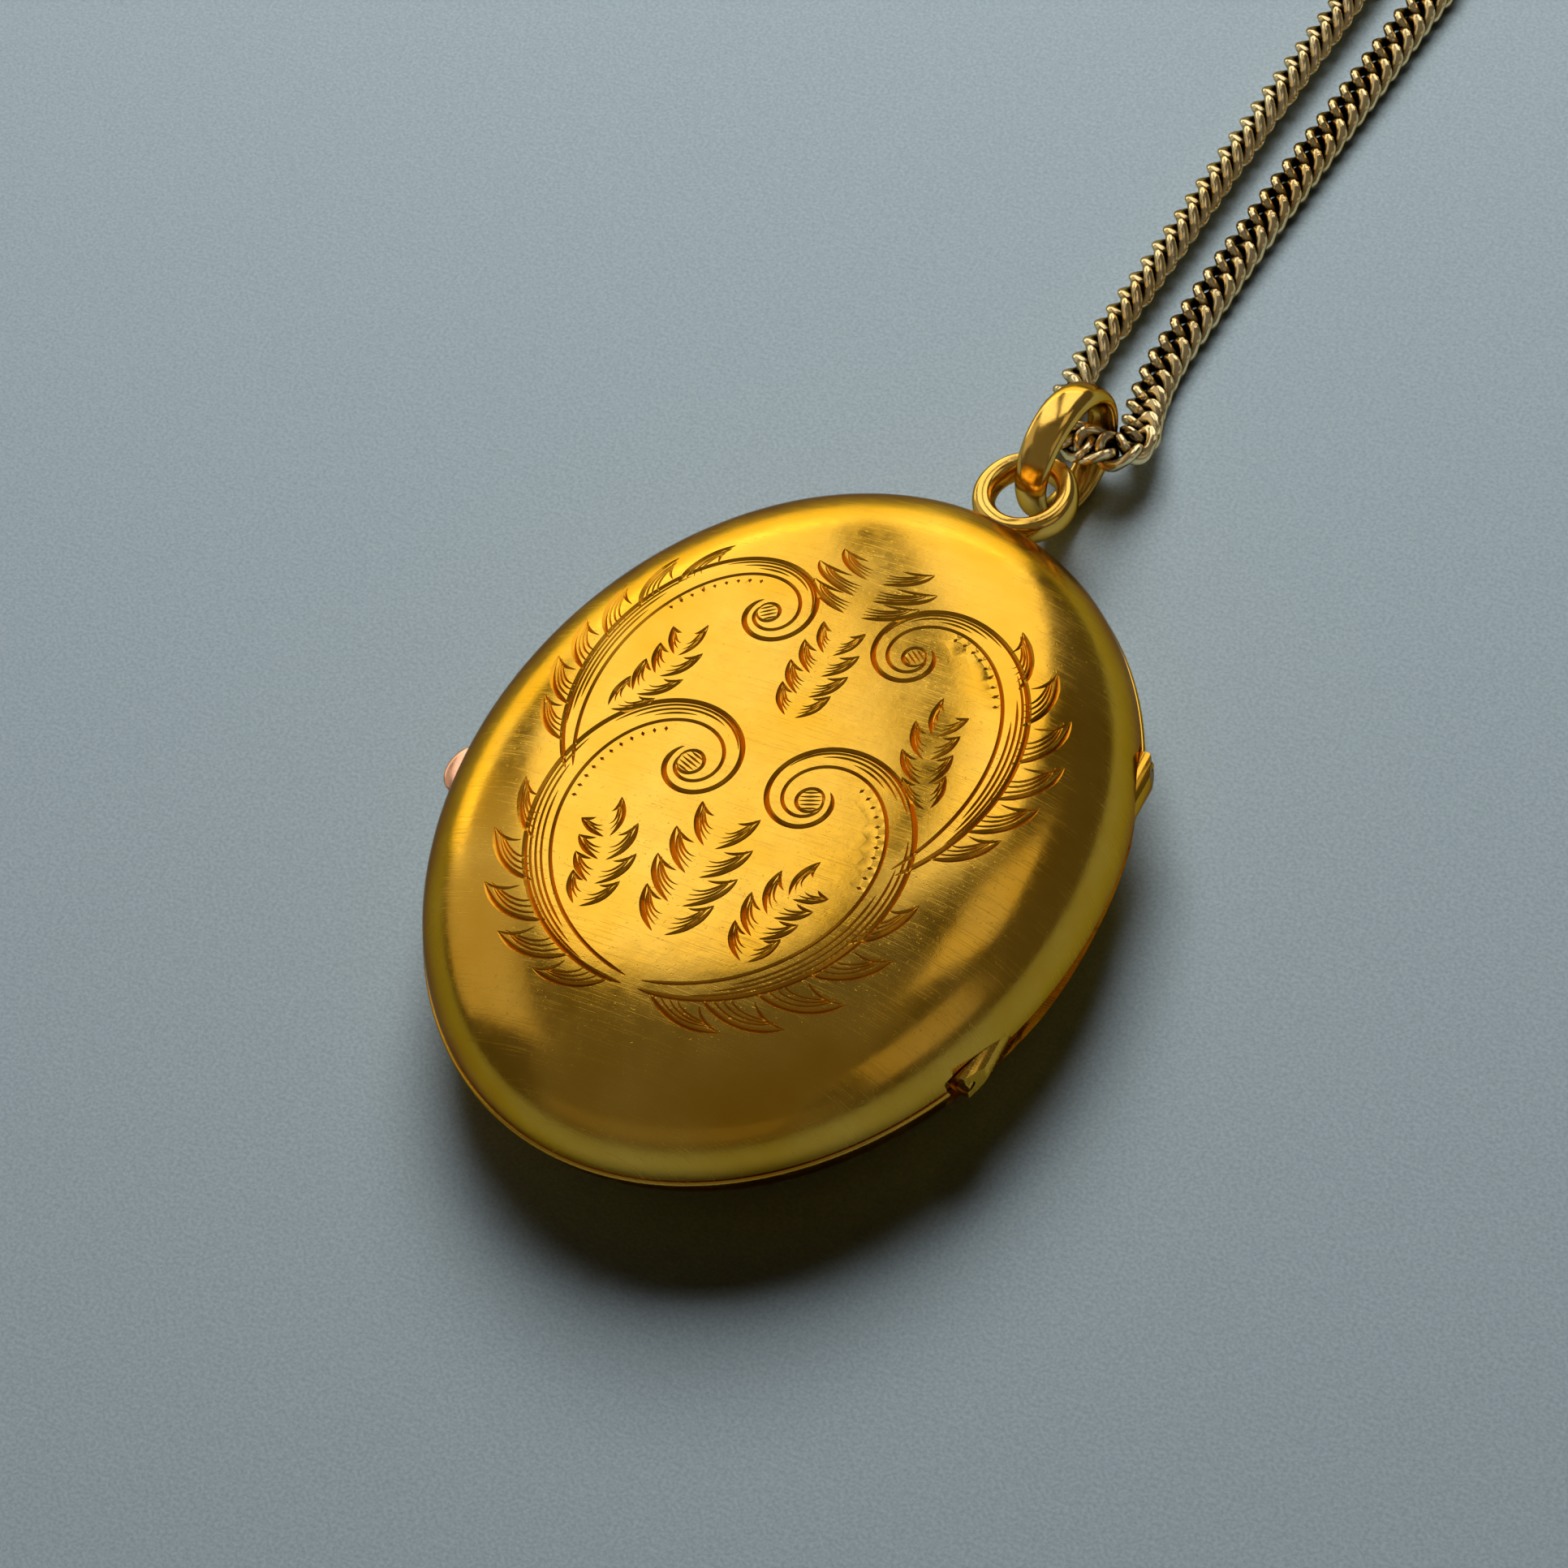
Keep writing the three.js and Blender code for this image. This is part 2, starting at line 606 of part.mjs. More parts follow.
function claspBolt() {
  const rod = claspArc(CLASP_RADIUS, CLASP_BOLT, BOLT_ANGLES);
  const post = new THREE.CylinderGeometry(0.12, 0.12, 0.9, 10).rotateZ(Math.PI / 2);
  const knob = new THREE.SphereGeometry(0.26, 12, 8);
  post.translate(CLASP_RADIUS + 0.45, 0, CLASP_Z);
  knob.translate(CLASP_RADIUS + 0.98, 0, CLASP_Z);
  return join(rod, claspPlace(post, KNOB_ANGLE), claspPlace(knob, KNOB_ANGLE));
}

function claspSpring() {
  const turns = 7;
  const coilRadius = 0.24;
  const wire = 0.05;
  const route = [];
  for (let step = 0; step <= turns * 8; step += 1) {
    const share = step / (turns * 8);
    const arc = THREE.MathUtils.degToRad(THREE.MathUtils.lerp(...SPRING_ANGLES, share));
    const turn = share * turns * 2 * Math.PI;
    const radius = CLASP_RADIUS + coilRadius * Math.cos(turn);
    route.push([
      COIL.x + radius * Math.cos(arc),
      COIL.y + radius * Math.sin(arc),
      CLASP_Z + coilRadius * Math.sin(turn),
    ]);
  }
  return tubeAlong(new THREE.CatmullRomCurve3(points(route)), wire, 5, turns * 8);
}

function claspRing(degrees) {
  const ring = new THREE.TorusGeometry(END_RING_RADIUS, END_RING_WIRE, 8, 24).rotateX(Math.PI / 2);
  ring.translate(CLASP_RADIUS + 0.45, 0, END_RING_RADIUS + END_RING_WIRE + 0.02);
  return claspPlace(ring, degrees);
}

// Assembly

const locket = new THREE.Group();

function place(name, geometry, finish, parent) {
  const mesh = new THREE.Mesh(geometry, new THREE.MeshStandardMaterial(FINISHES[finish]));
  mesh.name = name;
  parent.add(mesh);
}

function addHalf(half, cover, bearer) {
  const group = new THREE.Group();
  place(`${half}_cover`, cover, 'gold', group);
  place(`${half}_pan`, pan(half), 'gold', group);
  place(`${half}_backing_card`, layer(half, CARD_DEPTHS), 'card', group);
  place(`${half}_photo_paper`, layer(half, PAPER_DEPTHS), 'paper', group);
  place(`${half}_window`, layer(half, WINDOW_DEPTHS), 'window', group);
  place(`${half}_picture_frame`, pictureFrame(half), 'gold', group);
  place(`${half}_hinge_bearer`, bearer, 'gold', group);
  locket.add(group);
}

function addHinge() {
  for (let number = 0; number < KNUCKLE_COUNT; number += 1) {
    place(`hinge_knuckle_${number + 1}`, knuckle(number), 'gold', locket);
  }
  place('hinge_pin', hingePin(), 'gold', locket);
}

function addHanger() {
  place('ring_foot', ringFoot(), 'gold', locket);
  place('hanging_ring', ringBody(0), 'gold', locket);
  place('bail', bail(), 'gold', locket);
}

function addChain() {
  for (const side of ['left', 'right']) {
    place(`chain_${side}_eye`, chainEye(side), 'chainGold', locket);
    place(`chain_${side}_strand`, chainStrand(side), 'chainGold', locket);
    place(`chain_${side}_coil`, coilLayer(side), 'chainGold', locket);
  }
}

function addClasp() {
  place('clasp_body', claspBody(), 'chainGold', locket);
  place('clasp_bolt', claspBolt(), 'chainGold', locket);
  place('clasp_spring', claspSpring(), 'steel', locket);
  place('clasp_collar', claspRing(COLLAR_ANGLE), 'chainGold', locket);
  place('clasp_end_ring', claspRing(COLLAR_ANGLE + 180), 'chainGold', locket);
}

addHalf('back', backCover(), bearerBack());
addHalf('front', frontCover(), bearerFront());
addHinge();
place('thumb_piece', thumbPiece(), 'roseGold', locket);
addHanger();
addChain();
addClasp();

export default locket;
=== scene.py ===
"""Looks of the oval gold locket and its curb chain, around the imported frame. Shapes are worked out in
millimetres and placed in metres. +Z is up, +Y the long axis, towards the chain, and +X the hinge side."""
import math

import bpy
import numpy as np
from mathutils import Matrix, Vector
from mathutils.geometry import delaunay_2d_cdt


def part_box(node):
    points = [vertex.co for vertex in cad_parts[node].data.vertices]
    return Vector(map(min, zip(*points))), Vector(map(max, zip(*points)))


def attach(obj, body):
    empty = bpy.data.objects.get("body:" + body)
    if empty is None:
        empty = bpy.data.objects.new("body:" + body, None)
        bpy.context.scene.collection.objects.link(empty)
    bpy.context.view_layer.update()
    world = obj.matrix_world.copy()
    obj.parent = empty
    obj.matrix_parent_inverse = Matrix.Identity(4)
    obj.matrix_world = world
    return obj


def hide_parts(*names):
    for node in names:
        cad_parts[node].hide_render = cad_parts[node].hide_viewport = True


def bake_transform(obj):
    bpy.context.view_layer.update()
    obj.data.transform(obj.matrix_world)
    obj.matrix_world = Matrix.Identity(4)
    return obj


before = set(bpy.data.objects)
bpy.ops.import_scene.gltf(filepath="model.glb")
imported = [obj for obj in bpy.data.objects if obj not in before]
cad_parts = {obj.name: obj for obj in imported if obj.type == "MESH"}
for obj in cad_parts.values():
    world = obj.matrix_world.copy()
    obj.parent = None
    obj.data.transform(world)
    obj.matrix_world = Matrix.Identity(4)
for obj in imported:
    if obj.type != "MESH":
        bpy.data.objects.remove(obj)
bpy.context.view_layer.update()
MM = 0.001


def box_mm(node):
    """A node's lowest and highest corner, in millimetres."""
    return [np.array(corner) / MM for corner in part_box(node)]


# Oval case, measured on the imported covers
FRONT_LOW, FRONT_HIGH = box_mm("front_cover")
HALF_WIDTH = -FRONT_LOW[0]
HALF_LENGTH = FRONT_HIGH[1]
SEAM_GAP = 0.08
SEAM_Z = FRONT_LOW[2] - SEAM_GAP / 2
BACK_RIM_Z = SEAM_Z - SEAM_GAP / 2
FRONT_RIM_Z = SEAM_Z + SEAM_GAP / 2
CROWN_Z = FRONT_HIGH[2]
FRONT_RISE = CROWN_Z - FRONT_RIM_Z
SHOULDER_POWER = 4.6
FLAT_BACK = 1 / 9
SHEET = 0.45
RIM_BEAD = 0.12
RIM_BEAD_HEIGHT = 0.26
OVAL_SEGMENTS = 240
BEVEL_ANGLE = 40

# Inside each half, by depth below the ledge
LEDGE_Z = {"back": SEAM_Z - 0.6, "front": SEAM_Z + 0.87}
PAN_SHEET = 0.25
LEDGE_INSET = 0.78
PAN_WALL_INSET = 3.55
PAN_FLOOR_DEPTH = 0.7
SNAP_RIM_INSET = 0.6
SNAP_RIM_WALL = 0.3
SNAP_RIM_RISE = 0.8
FRAME_OUTER_INSET = 3.2
FRAME_INNER_INSET = 4.75
FRAME_HEIGHT = 0.37
FRAME_FOOT = -0.03
COLLAR_WALL = 0.24
COLLAR_DEPTH = 0.6
LAYER_INSET = 4.15
FIT_GAP = 0.04
LAYERS = (
    ("window", "window", 0.02, 0.29),
    ("paper", "photo_paper", 0.32, 0.44),
    ("card", "backing_card", 0.47, 0.67),
)

# Hinge
PIN_LOW, PIN_HIGH = box_mm("hinge_pin")
HINGE_X = (PIN_LOW[0] + PIN_HIGH[0]) / 2
HINGE_HALF_LENGTH = PIN_HIGH[1] + 0.1
KNUCKLE_COUNT = 5
KNUCKLE_RADIUS = 0.72
PIN_RADIUS = 0.3
RUNNING_GAP = 0.06
GUTTER_INNER = 0.8
GUTTER_OUTER = 1.35
GUTTER_OVERRUN = 0.2
CLEARANCE_RADIUS = 1.42
OPEN_ANGLE = 110
WEB_ANGLES = (56, 68)
WEB_FOOT = 1.11
WEB_REACH = 4
POCKET_WALL = 0.3
POCKET_END_ANGLE = -126
GUTTER_END_ANGLE = 170
SWING_STEP = 5.6
SWING_STATIONS = 48
ROOM_OVERRUN = 0.3
PAN_ROOM_ANGLES = {"back": (-66, 69, 244), "front": (-69, 69, 290)}
PAN_ROOM_REACH = 4.5
PAN_POCKET_REACH = 2.5
KNUCKLE_PROUD = 0.45

# Thumb piece, hanging ring and bail
THUMB_Y = -2.2
THUMB_HALVES = (0.95, 1.35, 0.27)
NICK_HALVES = (0.36, 2, 0.3)
RING_LOW, RING_HIGH = box_mm("hanging_ring")
RING = (RING_LOW + RING_HIGH) / 2
RING_RADIUS = 1.95
RING_WIRE = 0.475
RING_WIRE_TALL = 0.62
RING_WEAR = 0.05
FOOT_HALVES = (2.1, 0.85, 0.56)
BAIL_LOW, BAIL_HIGH = box_mm("bail")
BAIL = np.array([(BAIL_LOW[0] + BAIL_HIGH[0]) / 2, (BAIL_LOW[1] + BAIL_HIGH[1]) / 2, 3.25])
BAIL_YAW = math.radians(6.6)
BAIL_HALF_LONG = 3.05
BAIL_HALF_TALL = 2.72
BAIL_HALF_WIDTH = 0.8
BAIL_HALF_THICK = 0.42
BAIL_TOP_WIDER = 0.15
BAIL_TOP_THICKER = 0.18

# Chain. Each route leaves the bail and lies on the floor, as far as its coil
CHAIN_REST_Z = 0.77
CHAIN_ROUTES = {
    "left": [
        (1.85, 26.05, 2.5), (1.1, 26.05, 2.45), (0.25, 26.6, 2.3), (-0.25, 27.6, 1.95), (-0.6, 29, 1.35),
        (-0.8, 30.6, 0.9), (-0.8, 33, 0.77), (-0.5, 37, 0.77), (-0.2, 41, 0.77), (0.05, 45, 0.77),
        (0.35, 49, 0.77), (0.7, 53, 0.77), (1.1, 57.5, 0.77), (1.3, 61, 0.77), (1.35, 64, 0.77),
        (1.35, 67, 0.77), (1.35, 71.5, 0.77),
    ],
    "right": [
        (2.15, 26.05, 2.5), (3, 26.05, 2.42), (3.8, 26.5, 2.25), (3.95, 27.5, 1.9), (3.4, 29, 1.3),
        (2.9, 30.7, 0.88), (2.65, 33, 0.77), (2.85, 37, 0.77), (3.1, 41, 0.77), (3.45, 45, 0.77),
        (3.85, 49, 0.77), (4.25, 53, 0.77), (4.65, 57.5, 0.77), (4.95, 60.5, 0.82), (4.7, 63.5, 1.4),
        (3.9, 66, 2.1), (2.5, 68.7, 2.35), (1.35, 71.5, 2.35),
    ],
}
LAYER_Z = {"left": CHAIN_REST_Z, "right": CHAIN_REST_Z + 1.58}
ROLLS = {"left": 42, "right": -4}
ROLL_UNEVENNESS = 2.5
ROLL_SEEDS = {"left": 11, "right": 12}
LINK_PITCH = 1.1
LINK_WIRE = 0.62
LINK_WIDTH = 2.12
LINK_TWIST = math.radians(48)
FILED_HALF_WIDTH = LINK_WIDTH / 2 - 0.1
FILED_HALF_THICK = 0.7
FILED_CROWN = 0.12
COIL = np.array([-10.05, 71.5, 0])
COIL_START, COIL_END = 11.4, 5.8
COIL_TURNS = {"left": 2.95, "right": 3.45}
COIL_TAIL_RADIUS = 3.75
COIL_TAIL_Z = 1.5
COIL_TAIL_ANGLE = 60

# Bolt ring clasp, with its angles in degrees about its own middle
CLASP_Z = 1.2
CLASP_RADIUS = 2
CLASP_TUBE = 0.55
CLASP_BORE = 0.36
CLASP_ANGLES = (247, 557)
BORE_OVERRUN = 8
SLOT_ANGLES = (262, 328)
SLOT_HALF_WIDTH = 0.2
KNOB_ANGLE = 270
KNOB_RADIUS = 0.26
KNOB_REACH = 0.98
KNOB_POST = 0.12
BOLT_ANGLES = (189, 272)
BOLT_RADIUS = 0.28
TAIL_ANGLES = (270, 292)
TAIL_RADIUS = 0.15
SPRING_ANGLES = (326, 349)
SPRING_TURNS = 7
SPRING_COIL = 0.24
SPRING_WIRE = 0.045
END_RING_RADIUS = 1.3
END_RING_WIRE = 0.22
COLLAR_ANGLE = 42

# Engraving: graver strokes by width, and the mesh that carries them
HAIRLINE = 0.12
FINE = 0.18
BOLD = 0.26
GRAVER_SLOPE = 0.9
FILL_SPACING = 0.55
RIM_COUNT = 264
CELL = 0.3

# Colour of gold seen edge on, and the floor
EDGE_TINT = (0.32, 0.21, 0.04, 1)
FLOOR_HALF = 1500
FLOOR_Z = -0.02

# Camera: the directions of its own axes, and its place in millimetres
CAMERA_RIGHT = (0.8705, 0.4607, -0.1730)
CAMERA_UP = (-0.2809, 0.7539, 0.5940)
CAMERA_BACK = (0.4041, -0.4685, 0.7857)
CAMERA_PLACE = (93.4, -107.3, 188.3)
CAMERA_LENS = 121.1


# ---------------------------------------------------------------- camera

def add_camera():
    """A long lens over the locket's lower right, rolled so that the chain runs to the upper right."""
    camera = place_object("camera", bpy.data.cameras.new("camera"))
    turn = Matrix((CAMERA_RIGHT, CAMERA_UP, CAMERA_BACK)).transposed().to_4x4()
    camera.matrix_world = Matrix.Translation(Vector(CAMERA_PLACE) * MM) @ turn
    camera.data.sensor_width = 36
    camera.data.lens = CAMERA_LENS
    camera.data.clip_start = 0.01
    camera.data.clip_end = 20
    bpy.context.scene.camera = camera


# ---------------------------------------------------------------- mesh helpers

def place_object(name, data):
    """Links a new object to the scene."""
    made = bpy.data.objects.new(name, data)
    bpy.context.scene.collection.objects.link(made)
    return made


def mesh_from(name, points, faces):
    """A mesh from points in millimetres."""
    mesh = bpy.data.meshes.new(name)
    mesh.from_pydata((np.asarray(points) * MM).tolist(), [], faces)
    return mesh


def make_piece(name, points, faces, material, body, nodes=(), sharp=35):
    """A piece from points in millimetres, smooth apart from edges sharper than sharp degrees."""
    mesh = mesh_from(name, points, faces)
    mesh.validate()
    mesh.materials.append(material)
    piece = place_object(name, mesh)
    smooth_piece(piece, sharp)
    dress(piece, body, nodes)
    return piece


def dress(piece, body, nodes):
    """Says which body a piece rides on and hides the CAD nodes that it stands for."""
    if body:
        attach(piece, body)
    if nodes:
        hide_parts(*nodes)


def circle_angles(count):
    return np.arange(count) / count * 2 * math.pi


def level_direction(degrees):
    """The level direction at an angle."""
    return np.array([math.cos(math.radians(degrees)), math.sin(math.radians(degrees)), 0])


def softened(value, power):
    """A sine or cosine drawn out to a power, which squares or rounds what it traces."""
    return np.sign(value) * np.abs(value) ** power


def distances_along(path):
    """Distance from the path's start to each of its points."""
    return np.concatenate([[0], np.cumsum(np.linalg.norm(np.diff(path, axis=0), axis=1))])


def fan(pole, first, count, outward):
    """Triangles from a pole to a ring of points."""
    faces = []
    for column in range(count):
        across = (column + 1) % count
        corners = (pole, first + column, first + across)
        faces.append(corners if outward else (pole, first + across, first + column))
    return faces


def grid_faces(rows, columns, closed_rows, closed_columns, first=0):
    """Quads over a grid of points, which are numbered column by column along each row."""
    faces = []
    for row in range(rows if closed_rows else rows - 1):
        for column in range(columns if closed_columns else columns - 1):
            across = (column + 1) % columns
            along = (row + 1) % rows
            corners = (row * columns + column, row * columns + across,
                       along * columns + across, along * columns + column)
            faces.append(tuple(first + corner for corner in corners))
    return faces


def tube(path, sections, closed=False, up=(0, 0, 1)):
    """Sweeps sections, one per path point as (across, above) pairs, along a path kept level with up.
    Its faces point inwards."""
    path = np.asarray(path, float)
    if closed:
        ahead, behind = np.roll(path, -1, 0), np.roll(path, 1, 0)
    else:
        ahead, behind = np.vstack([path[1:], path[-1:]]), np.vstack([path[:1], path[:-1]])
    forward = unit(ahead - behind)
    across = unit(np.cross(forward, np.broadcast_to(up, forward.shape)))
    above = np.cross(across, forward)
    sections = np.broadcast_to(sections, (len(path),) + np.shape(sections)[-2:])
    points = path[:, None] + sections[..., :1] * across[:, None] + sections[..., 1:] * above[:, None]
    count = sections.shape[1]
    faces = grid_faces(len(path), count, closed, True)
    if not closed:
        faces.append(tuple(range(count))[::-1])
        faces.append(tuple(range((len(path) - 1) * count, len(path) * count)))
    return points.reshape(-1, 3), faces


def unit(vectors):
    return vectors / np.maximum(np.linalg.norm(vectors, axis=-1, keepdims=True), 1e-12)


def round_section(radius, sides=20):
    angle = circle_angles(sides)
    return np.stack([radius * np.cos(angle), radius * np.sin(angle)], -1)


def join_meshes(parts):
    """One list of points and faces from several."""
    points, faces, first = [], [], 0
    for part_points, part_faces in parts:
        points.append(part_points)
        faces += [tuple(first + corner for corner in face) for face in part_faces]
        first += len(part_points)
    return np.vstack(points), faces


def bevel(piece, width):
    """Rounds a piece's sharp edges by width millimetres."""
    modifier = piece.modifiers.new("bevel", "BEVEL")
    modifier.width = width * MM
    modifier.segments = 2
    modifier.angle_limit = math.radians(BEVEL_ANGLE)


def apply_modifiers(piece):
    graph = bpy.context.evaluated_depsgraph_get()
    mesh = bpy.data.meshes.new_from_object(piece.evaluated_get(graph))
    piece.modifiers.clear()
    piece.data = mesh


def carve(piece, tool, operation="DIFFERENCE"):
    """Cuts a closed tool out of a piece, or keeps only what they share. The tool is used up."""
    modifier = piece.modifiers.new("carve", "BOOLEAN")
    modifier.operation = operation
    modifier.solver = "EXACT"
    modifier.object = tool
    apply_modifiers(piece)
    bpy.data.objects.remove(tool)


def tool_from(points, faces):
    """A closed shape in millimetres that only cuts others."""
    return place_object("tool", mesh_from("tool", points, faces))


def smooth_piece(piece, sharp=35):
    piece.data.shade_smooth()
    piece.data.set_sharp_from_angle(angle=math.radians(sharp))


# ---------------------------------------------------------------- oval shapes

def oval_rings(profile, angle):
    """One ring of points on the oval for each (inset, reach, z) of a profile."""
    rings = []
    for inset, reach, z in profile:
        x = (HALF_WIDTH - inset) * reach * np.cos(angle)
        y = (HALF_LENGTH - inset) * reach * np.sin(angle)
        rings.append(np.stack([x, y, np.full(len(angle), z)], -1))
    return rings


def oval_turned(profile):
    """Turns (inset, reach, z) points about +Z on the oval: inset is the distance inside the outline, and
    reach runs from 0 on the axis to 1 at that inset. A profile starts and ends on the axis or closes."""
    on_axis = profile[0][1] == 0
    rings = oval_rings(profile[1:-1] if on_axis else profile[:-1], circle_angles(OVAL_SEGMENTS))
    points = np.vstack(rings)
    faces = grid_faces(len(rings), OVAL_SEGMENTS, not on_axis, True)
    if on_axis:
        foot, crown = len(points), len(points) + 1
        points = np.vstack([points, [0, 0, profile[0][2]], [0, 0, profile[-1][2]]])
        faces += fan(foot, 0, OVAL_SEGMENTS, False)
        faces += fan(crown, (len(rings) - 1) * OVAL_SEGMENTS, OVAL_SEGMENTS, True)
    return points, faces


def plate_profile(inset, low_z, high_z):
    return [(inset, 0, low_z), (inset, 1, low_z), (inset, 1, high_z), (inset, 0, high_z)]


def dome_profile(inset, rim_z, crown_z, steps=26, flat=0.0):
    """Cushion dome from rim to crown. A flat share above 0 cuts the crown level, out to that angle."""
    flat_rise = math.cos(flat * math.pi / 2)
    profile = []
    for angle in np.linspace(1, flat, steps) * math.pi / 2:
        reach = math.sin(angle) ** (2 / SHOULDER_POWER)
        rise = min(1.0, math.cos(angle) / flat_rise)
        profile.append((inset, reach, rim_z + rise * (crown_z - rim_z)))
    return profile


def back_dome(inset):
    return dome_profile(inset, BACK_RIM_Z, inset, flat=FLAT_BACK)


def front_dome(inset):
    return dome_profile(inset, FRONT_RIM_Z, CROWN_Z - inset)


def at_depth(half, inset, reach, depth):
    """A profile point by its depth below the half's ledge, growing into that half's own dome."""
    z = LEDGE_Z[half] - depth if half == "back" else LEDGE_Z[half] + depth
    return (inset, reach, z)


def half_profile(half, points):
    profile = [at_depth(half, *point) for point in points]
    return profile if half == "back" else profile[::-1]


# ---------------------------------------------------------------- hinge shapes

def hinge_point(radius, degrees):
    angle = math.radians(degrees)
    return (HINGE_X + radius * math.cos(angle), SEAM_Z + radius * math.sin(angle))


def hinge_arc(radius, start, end, step=4):
    count = max(2, round(abs(end - start) / step) + 1)
    return [hinge_point(radius, degrees) for degrees in np.linspace(start, end, count)]


def prism_along_y(outline, low_y, high_y):
    """A prism from an (x, z) outline that runs anticlockwise as seen from -Y."""
    count = len(outline)
    points = [(x, y, z) for y in (low_y, high_y) for x, z in outline]
    faces = [face[::-1] for face in grid_faces(2, count, False, True)]
    faces.append(tuple(range(count)))
    faces.append(tuple(range(count, 2 * count))[::-1])
    return np.array(points), faces


def dome_reach(y, degrees, grow):
    """Distances from the hinge axis to the front dome, along rays at angles above the seam."""
    angle = np.radians(degrees)
    near, far = np.zeros(len(angle)), np.full(len(angle), 8.0)
    along = y / (HALF_LENGTH + grow)
    for _ in range(30):
        middle = (near + far) / 2
        rise = middle * np.sin(angle) / (CROWN_Z - SEAM_Z + grow)
        reach = np.hypot((HINGE_X + middle * np.cos(angle)) / (HALF_WIDTH + grow), along)
        inside = reach ** SHOULDER_POWER + rise ** 2 < 1
        near, far = np.where(inside, middle, near), np.where(inside, far, middle)
    return near


def swing_room(grow, last_angle=-OPEN_ANGLE - 2):
    """A tool: all that the front dome's edge passes through as it opens, around the barrel."""
    angles = np.arange(last_angle, SWING_STEP, SWING_STEP)[::-1]
    half_length = HINGE_HALF_LENGTH + ROOM_OVERRUN
    points = []
    for y in np.linspace(-half_length, half_length, SWING_STATIONS + 1):
        points.append((HINGE_X, y, SEAM_Z))
        for angle in angles:
            lowest = max(0, angle)
            highest = max(lowest, min(100, angle + OPEN_ANGLE))
            reach = max(0.2, dome_reach(y, np.linspace(lowest, highest, 9), grow).max())
            x, z = hinge_point(reach, angle)
            points.append((x, y, z))
    count = len(angles) + 1
    last = SWING_STATIONS * count
    faces = grid_faces(SWING_STATIONS + 1, count, False, True)
    faces.append(tuple(range(count))[::-1])
    faces.append(tuple(range(last, last + count)))
    tool = tool_from(points, faces)
    carve(tool, tool_from(*barrel_room(GUTTER_INNER)))
    return tool


def barrel_room(radius):
    half_length = HINGE_HALF_LENGTH + 2 * GUTTER_OVERRUN
    return cylinder_along_y(radius, -half_length, half_length)


def pan_hinge_room(half):
    """The room that the hinge, its webs and its pocket need inside a pan."""
    low, high, pocket = PAN_ROOM_ANGLES[half]
    reach, half_length = PAN_ROOM_REACH, HINGE_HALF_LENGTH + ROOM_OVERRUN
    outline = [hinge_point(reach, low), (HINGE_X + reach, SEAM_Z - reach)]
    outline += [(HINGE_X + reach, SEAM_Z + reach), hinge_point(reach, high)]
    outline += hinge_arc(CLEARANCE_RADIUS, high, pocket)
    outline += hinge_arc(PAN_POCKET_REACH, pocket, low + 360)
    return prism_along_y(outline, -half_length, half_length)


def back_filled(inset):
    return oval_turned([(0, 0, 0)] + back_dome(inset)[::-1][1:] + [(0, 0, BACK_RIM_Z)])


def front_filled(inset):
    return oval_turned([(0, 0, FRONT_RIM_Z)] + front_dome(inset))


def add_back_bearer(gold):
    """Gutter under the barrel, and the wall of the pocket that the front's edge opens into."""
    gutter_start = -OPEN_ANGLE - 2
    outline = hinge_arc(GUTTER_OUTER, gutter_start, -GUTTER_END_ANGLE)
    outline += hinge_arc(GUTTER_INNER, -GUTTER_END_ANGLE, gutter_start)
    half_length = HINGE_HALF_LENGTH + GUTTER_OVERRUN
    points, faces = prism_along_y(outline, -half_length, half_length)
    piece = make_piece("back_hinge_gutter", points, faces, gold, None)
    pocket = swing_room(RUNNING_GAP + POCKET_WALL, POCKET_END_ANGLE)
    carve(pocket, tool_from(*barrel_room(GUTTER_OUTER - 0.1)))
    carve(piece, pocket, "UNION")
    carve(piece, swing_room(RUNNING_GAP))
    carve(piece, tool_from(*back_filled(SHEET + FIT_GAP)), "INTERSECT")
    smooth_piece(piece)
    dress(piece, "root", ("back_hinge_bearer",))


def add_front_bearer(gold):
    """Gutter behind the barrel, with a web to the cover."""
    web_low, web_high = WEB_ANGLES
    gutter_start = OPEN_ANGLE + 2
    outline = [hinge_point(WEB_REACH, web_low), hinge_point(WEB_REACH, web_high)]
    outline += hinge_arc(GUTTER_OUTER, web_high, GUTTER_END_ANGLE)
    outline += hinge_arc(GUTTER_INNER, GUTTER_END_ANGLE, gutter_start)
    outline += hinge_arc(WEB_FOOT, gutter_start, web_low)
    half_length = HINGE_HALF_LENGTH + GUTTER_OVERRUN
    points, faces = prism_along_y(outline, -half_length, half_length)
    piece = make_piece("front_hinge_gutter", points, faces, gold, None)
    carve(piece, tool_from(*front_filled(SHEET + FIT_GAP)), "INTERSECT")
    smooth_piece(piece)
    dress(piece, "front", ("front_hinge_bearer",))


def cylinder_along_y(radius, low_y, high_y, sides=48):
    outline = [hinge_point(radius, 360 * side / sides) for side in range(sides)]
    return prism_along_y(outline, low_y, high_y)


